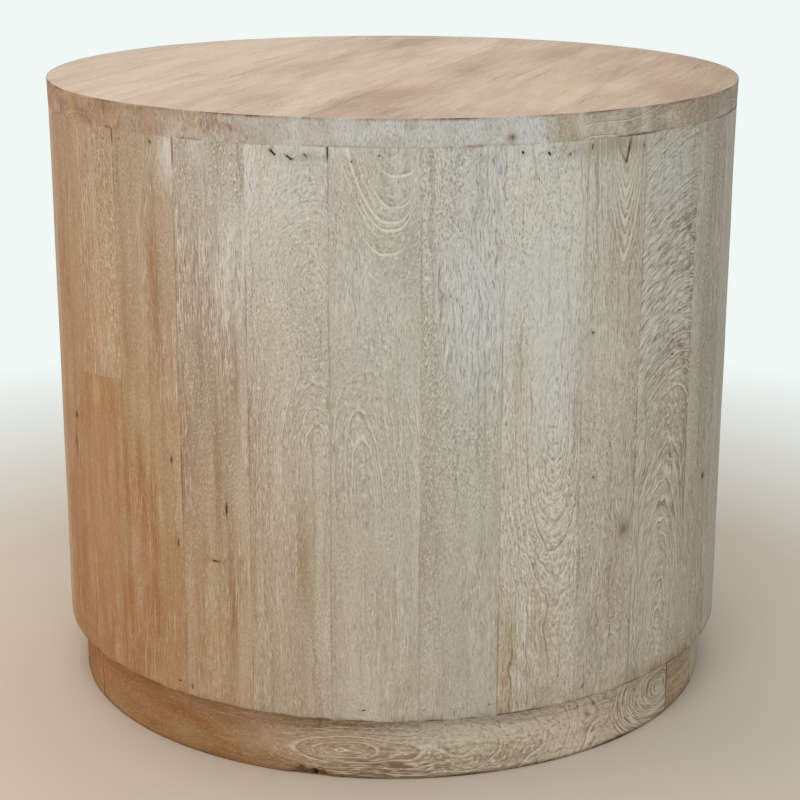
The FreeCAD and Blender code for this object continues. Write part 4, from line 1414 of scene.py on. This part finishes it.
class DRUM_OT_inside(bpy.types.Operator):
    """Gives the panels, posts and blocks inside the drum their raw wood"""

    bl_idname = "drum.inside"
    bl_label = "Panels, Posts and Blocks"

    def execute(self, context):
        colours = context.scene.drum_colours
        group = raw_wood()
        battens = [name for name in nodes_named("post_", "plinth_block") if name != "post_screws"]
        for names, name, colour in (
            (nodes_named("upper_former", "lower_former"), "raw_panel", colours.ply),
            (battens, "raw_batten", colours.batten),
        ):
            feeds = {"Place": object_place, "Pale": colour, "Pore": colours.pore}
            coat(names, finish(name, group, feeds, 0.0003))
        return {"FINISHED"}


class DRUM_OT_fasteners(bpy.types.Operator):
    """Gives the screws and nails their steel"""

    bl_idname = "drum.fasteners"
    bl_label = "Screws and Nails"

    def execute(self, context):
        colours = context.scene.drum_colours
        group = worn_metal()
        for names, name, colour in (
            (("top_screws", "post_screws", "block_screws"), "plated_screw", colours.steel),
            (("upper_stave_nails", "lower_stave_nails"), "dark_nail", colours.nail),
        ):
            coat(names, finish(name, group, {"Place": object_place, "Base": colour}, 0.0001, 1.0))
        return {"FINISHED"}


class DRUM_OT_stage(bpy.types.Operator):
    """Sets a plain floor, soft light and the camera"""

    bl_idname = "drum.stage"
    bl_label = "Floor, Light and Camera"

    def execute(self, context):
        stage = context.scene.drum_stage
        self.lay_floor(context.scene, stage)
        self.set_light(context.scene, stage)
        self.set_camera(context.scene, stage)
        context.scene.view_settings.view_transform = "Standard"
        return {"FINISHED"}

    def lay_floor(self, scene, stage):
        """A flat ring between two circles, open where the plinth hides it: the recess shows from below."""
        count, drop, reach, hidden = 96, 0.0003, 80, 0.006
        turn = np.linspace(0, 2 * math.pi, count, endpoint=False)
        circle = np.stack((np.cos(turn), np.sin(turn), 0 * turn), axis=1)
        here = np.arange(count)
        after = np.roll(here, -1)
        hole = np.hypot(*node_points("plinth_segment_1")[:, :2].T).max() - hidden
        mesh = bpy.data.meshes.new("plain_floor")
        mesh.from_pydata(
            np.concatenate((hole * circle, reach * circle)) - (0, 0, drop), [],
            np.stack((here, here + count, after + count, after), axis=1).tolist(),
        )
        mesh.materials.append(self.floor_material(stage))
        floor = bpy.data.objects.new("plain_floor", mesh)
        scene.collection.objects.link(floor)

    def floor_material(self, stage):
        """A matt floor that fades with distance to a plain glow where it is seen, and is clear from below."""
        material = bpy.data.materials.new("plain_floor")
        material.use_nodes = True
        s = Sheet(material.node_tree)
        surface = s.node("ShaderNodeBsdfPrincipled")
        place = object_place(s)
        soft = s.noise(s.stretch(place, (6, 6, 6)), 3.0)
        dim = tuple(part * 0.94 for part in stage.floor[:3]) + (1.0,)
        s.feed(surface.inputs["Base Color"], s.mix(soft, stage.floor, dim))
        surface.inputs["Roughness"].default_value = 0.8
        glow = s.node("ShaderNodeEmission")
        glow.inputs["Color"].default_value = stage.far
        apart = s.node("ShaderNodeVectorMath", operation="LENGTH")
        s.feed(apart.inputs[0], place)
        path = s.node("ShaderNodeLightPath").outputs
        seen = s.math("MAXIMUM", path["Is Camera Ray"], path["Is Glossy Ray"])
        seen = s.math("MAXIMUM", seen, path["Is Transmission Ray"])
        fade = s.times(s.span(apart.outputs["Value"], 0.4, 0.95), seen)
        shown = s.shaders(fade, surface.outputs[0], glow.outputs[0])
        below = s.node("ShaderNodeNewGeometry").outputs["Backfacing"]
        shown = s.shaders(below, shown, s.node("ShaderNodeBsdfTransparent").outputs[0])
        s.feed(s.node("ShaderNodeOutputMaterial").inputs["Surface"], shown)
        return material

    def set_light(self, scene, stage):
        """Even light all round, a large lamp in front, one above and a weak warm one at the left."""
        world = bpy.data.worlds.new("soft_room")
        world.use_nodes = True
        back = world.node_tree.nodes["Background"]
        back.inputs["Color"].default_value = stage.sky
        back.inputs["Strength"].default_value = stage.sky_strength
        scene.world = world
        for name, place, power, size, colour in (
            ("key_lamp", (-0.3, -1.9, 1.9), stage.key_power, 1.5, (1.0, 0.99, 0.98)),
            ("side_lamp", (-0.95, -0.3, 0.2), stage.side_power, 0.5, (1.0, 0.5, 0.18)),
            ("top_lamp", (-0.2, 0.5, 2.2), stage.key_power * 0.5, 1.6, (1.0, 0.97, 0.94)),
        ):
            lamp = bpy.data.lights.new(name, "AREA")
            lamp.energy, lamp.size, lamp.color = power, size, colour
            holder = bpy.data.objects.new(name, lamp)
            holder.location = place
            holder.rotation_euler = (Vector(LAMP_AIM) - Vector(place)).to_track_quat("-Z", "Y").to_euler()
            scene.collection.objects.link(holder)

    def set_camera(self, scene, stage):
        """The camera, turned to the right, tilted down and rolled."""
        view = bpy.data.cameras.new("photo_view")
        view.lens, view.sensor_width = stage.lens, 36.0
        camera = bpy.data.objects.new("photo_view", view)
        down, right, roll = stage.camera_turn
        turn = Matrix.Rotation(-right, 4, "Z") @ Matrix.Rotation(math.pi / 2 - down, 4, "X")
        turn = turn @ Matrix.Rotation(roll, 4, "Z")
        camera.matrix_world = Matrix.Translation(stage.camera_place) @ turn
        scene.collection.objects.link(camera)
        scene.camera = camera


BUILDERS = (
    DRUM_OT_staves, DRUM_OT_top_boards, DRUM_OT_plinth, DRUM_OT_inside, DRUM_OT_fasteners, DRUM_OT_stage,
)


class DRUM_PT_panel(bpy.types.Panel):
    """The builders of the drum table, in order, with their settings"""

    bl_idname = "DRUM_PT_panel"
    bl_label = "Drum Table"
    bl_space_type = "VIEW_3D"
    bl_region_type = "UI"
    bl_category = "Drum Table"

    def draw(self, context):
        for builder in BUILDERS:
            self.layout.operator(builder.bl_idname)
        for group in (context.scene.drum_sizes, context.scene.drum_colours, context.scene.drum_stage):
            box = self.layout.box()
            for name in group.bl_rna.properties.keys():
                if name not in ("rna_type", "name"):
                    box.prop(group, name)


CLASSES = (DrumSizes, DrumColours, DrumStage, *BUILDERS, DRUM_PT_panel)
SETTINGS = {"drum_sizes": DrumSizes, "drum_colours": DrumColours, "drum_stage": DrumStage}


def register():
    for kind in CLASSES:
        bpy.utils.register_class(kind)
    for name, kind in SETTINGS.items():
        setattr(bpy.types.Scene, name, PointerProperty(type=kind))


def unregister():
    for name in SETTINGS:
        delattr(bpy.types.Scene, name)
    for kind in reversed(CLASSES):
        bpy.utils.unregister_class(kind)


def main():
    register()
    for builder in BUILDERS:
        category, name = builder.bl_idname.split(".")
        getattr(getattr(bpy.ops, category), name)()


if __name__ == "__main__":
    main()
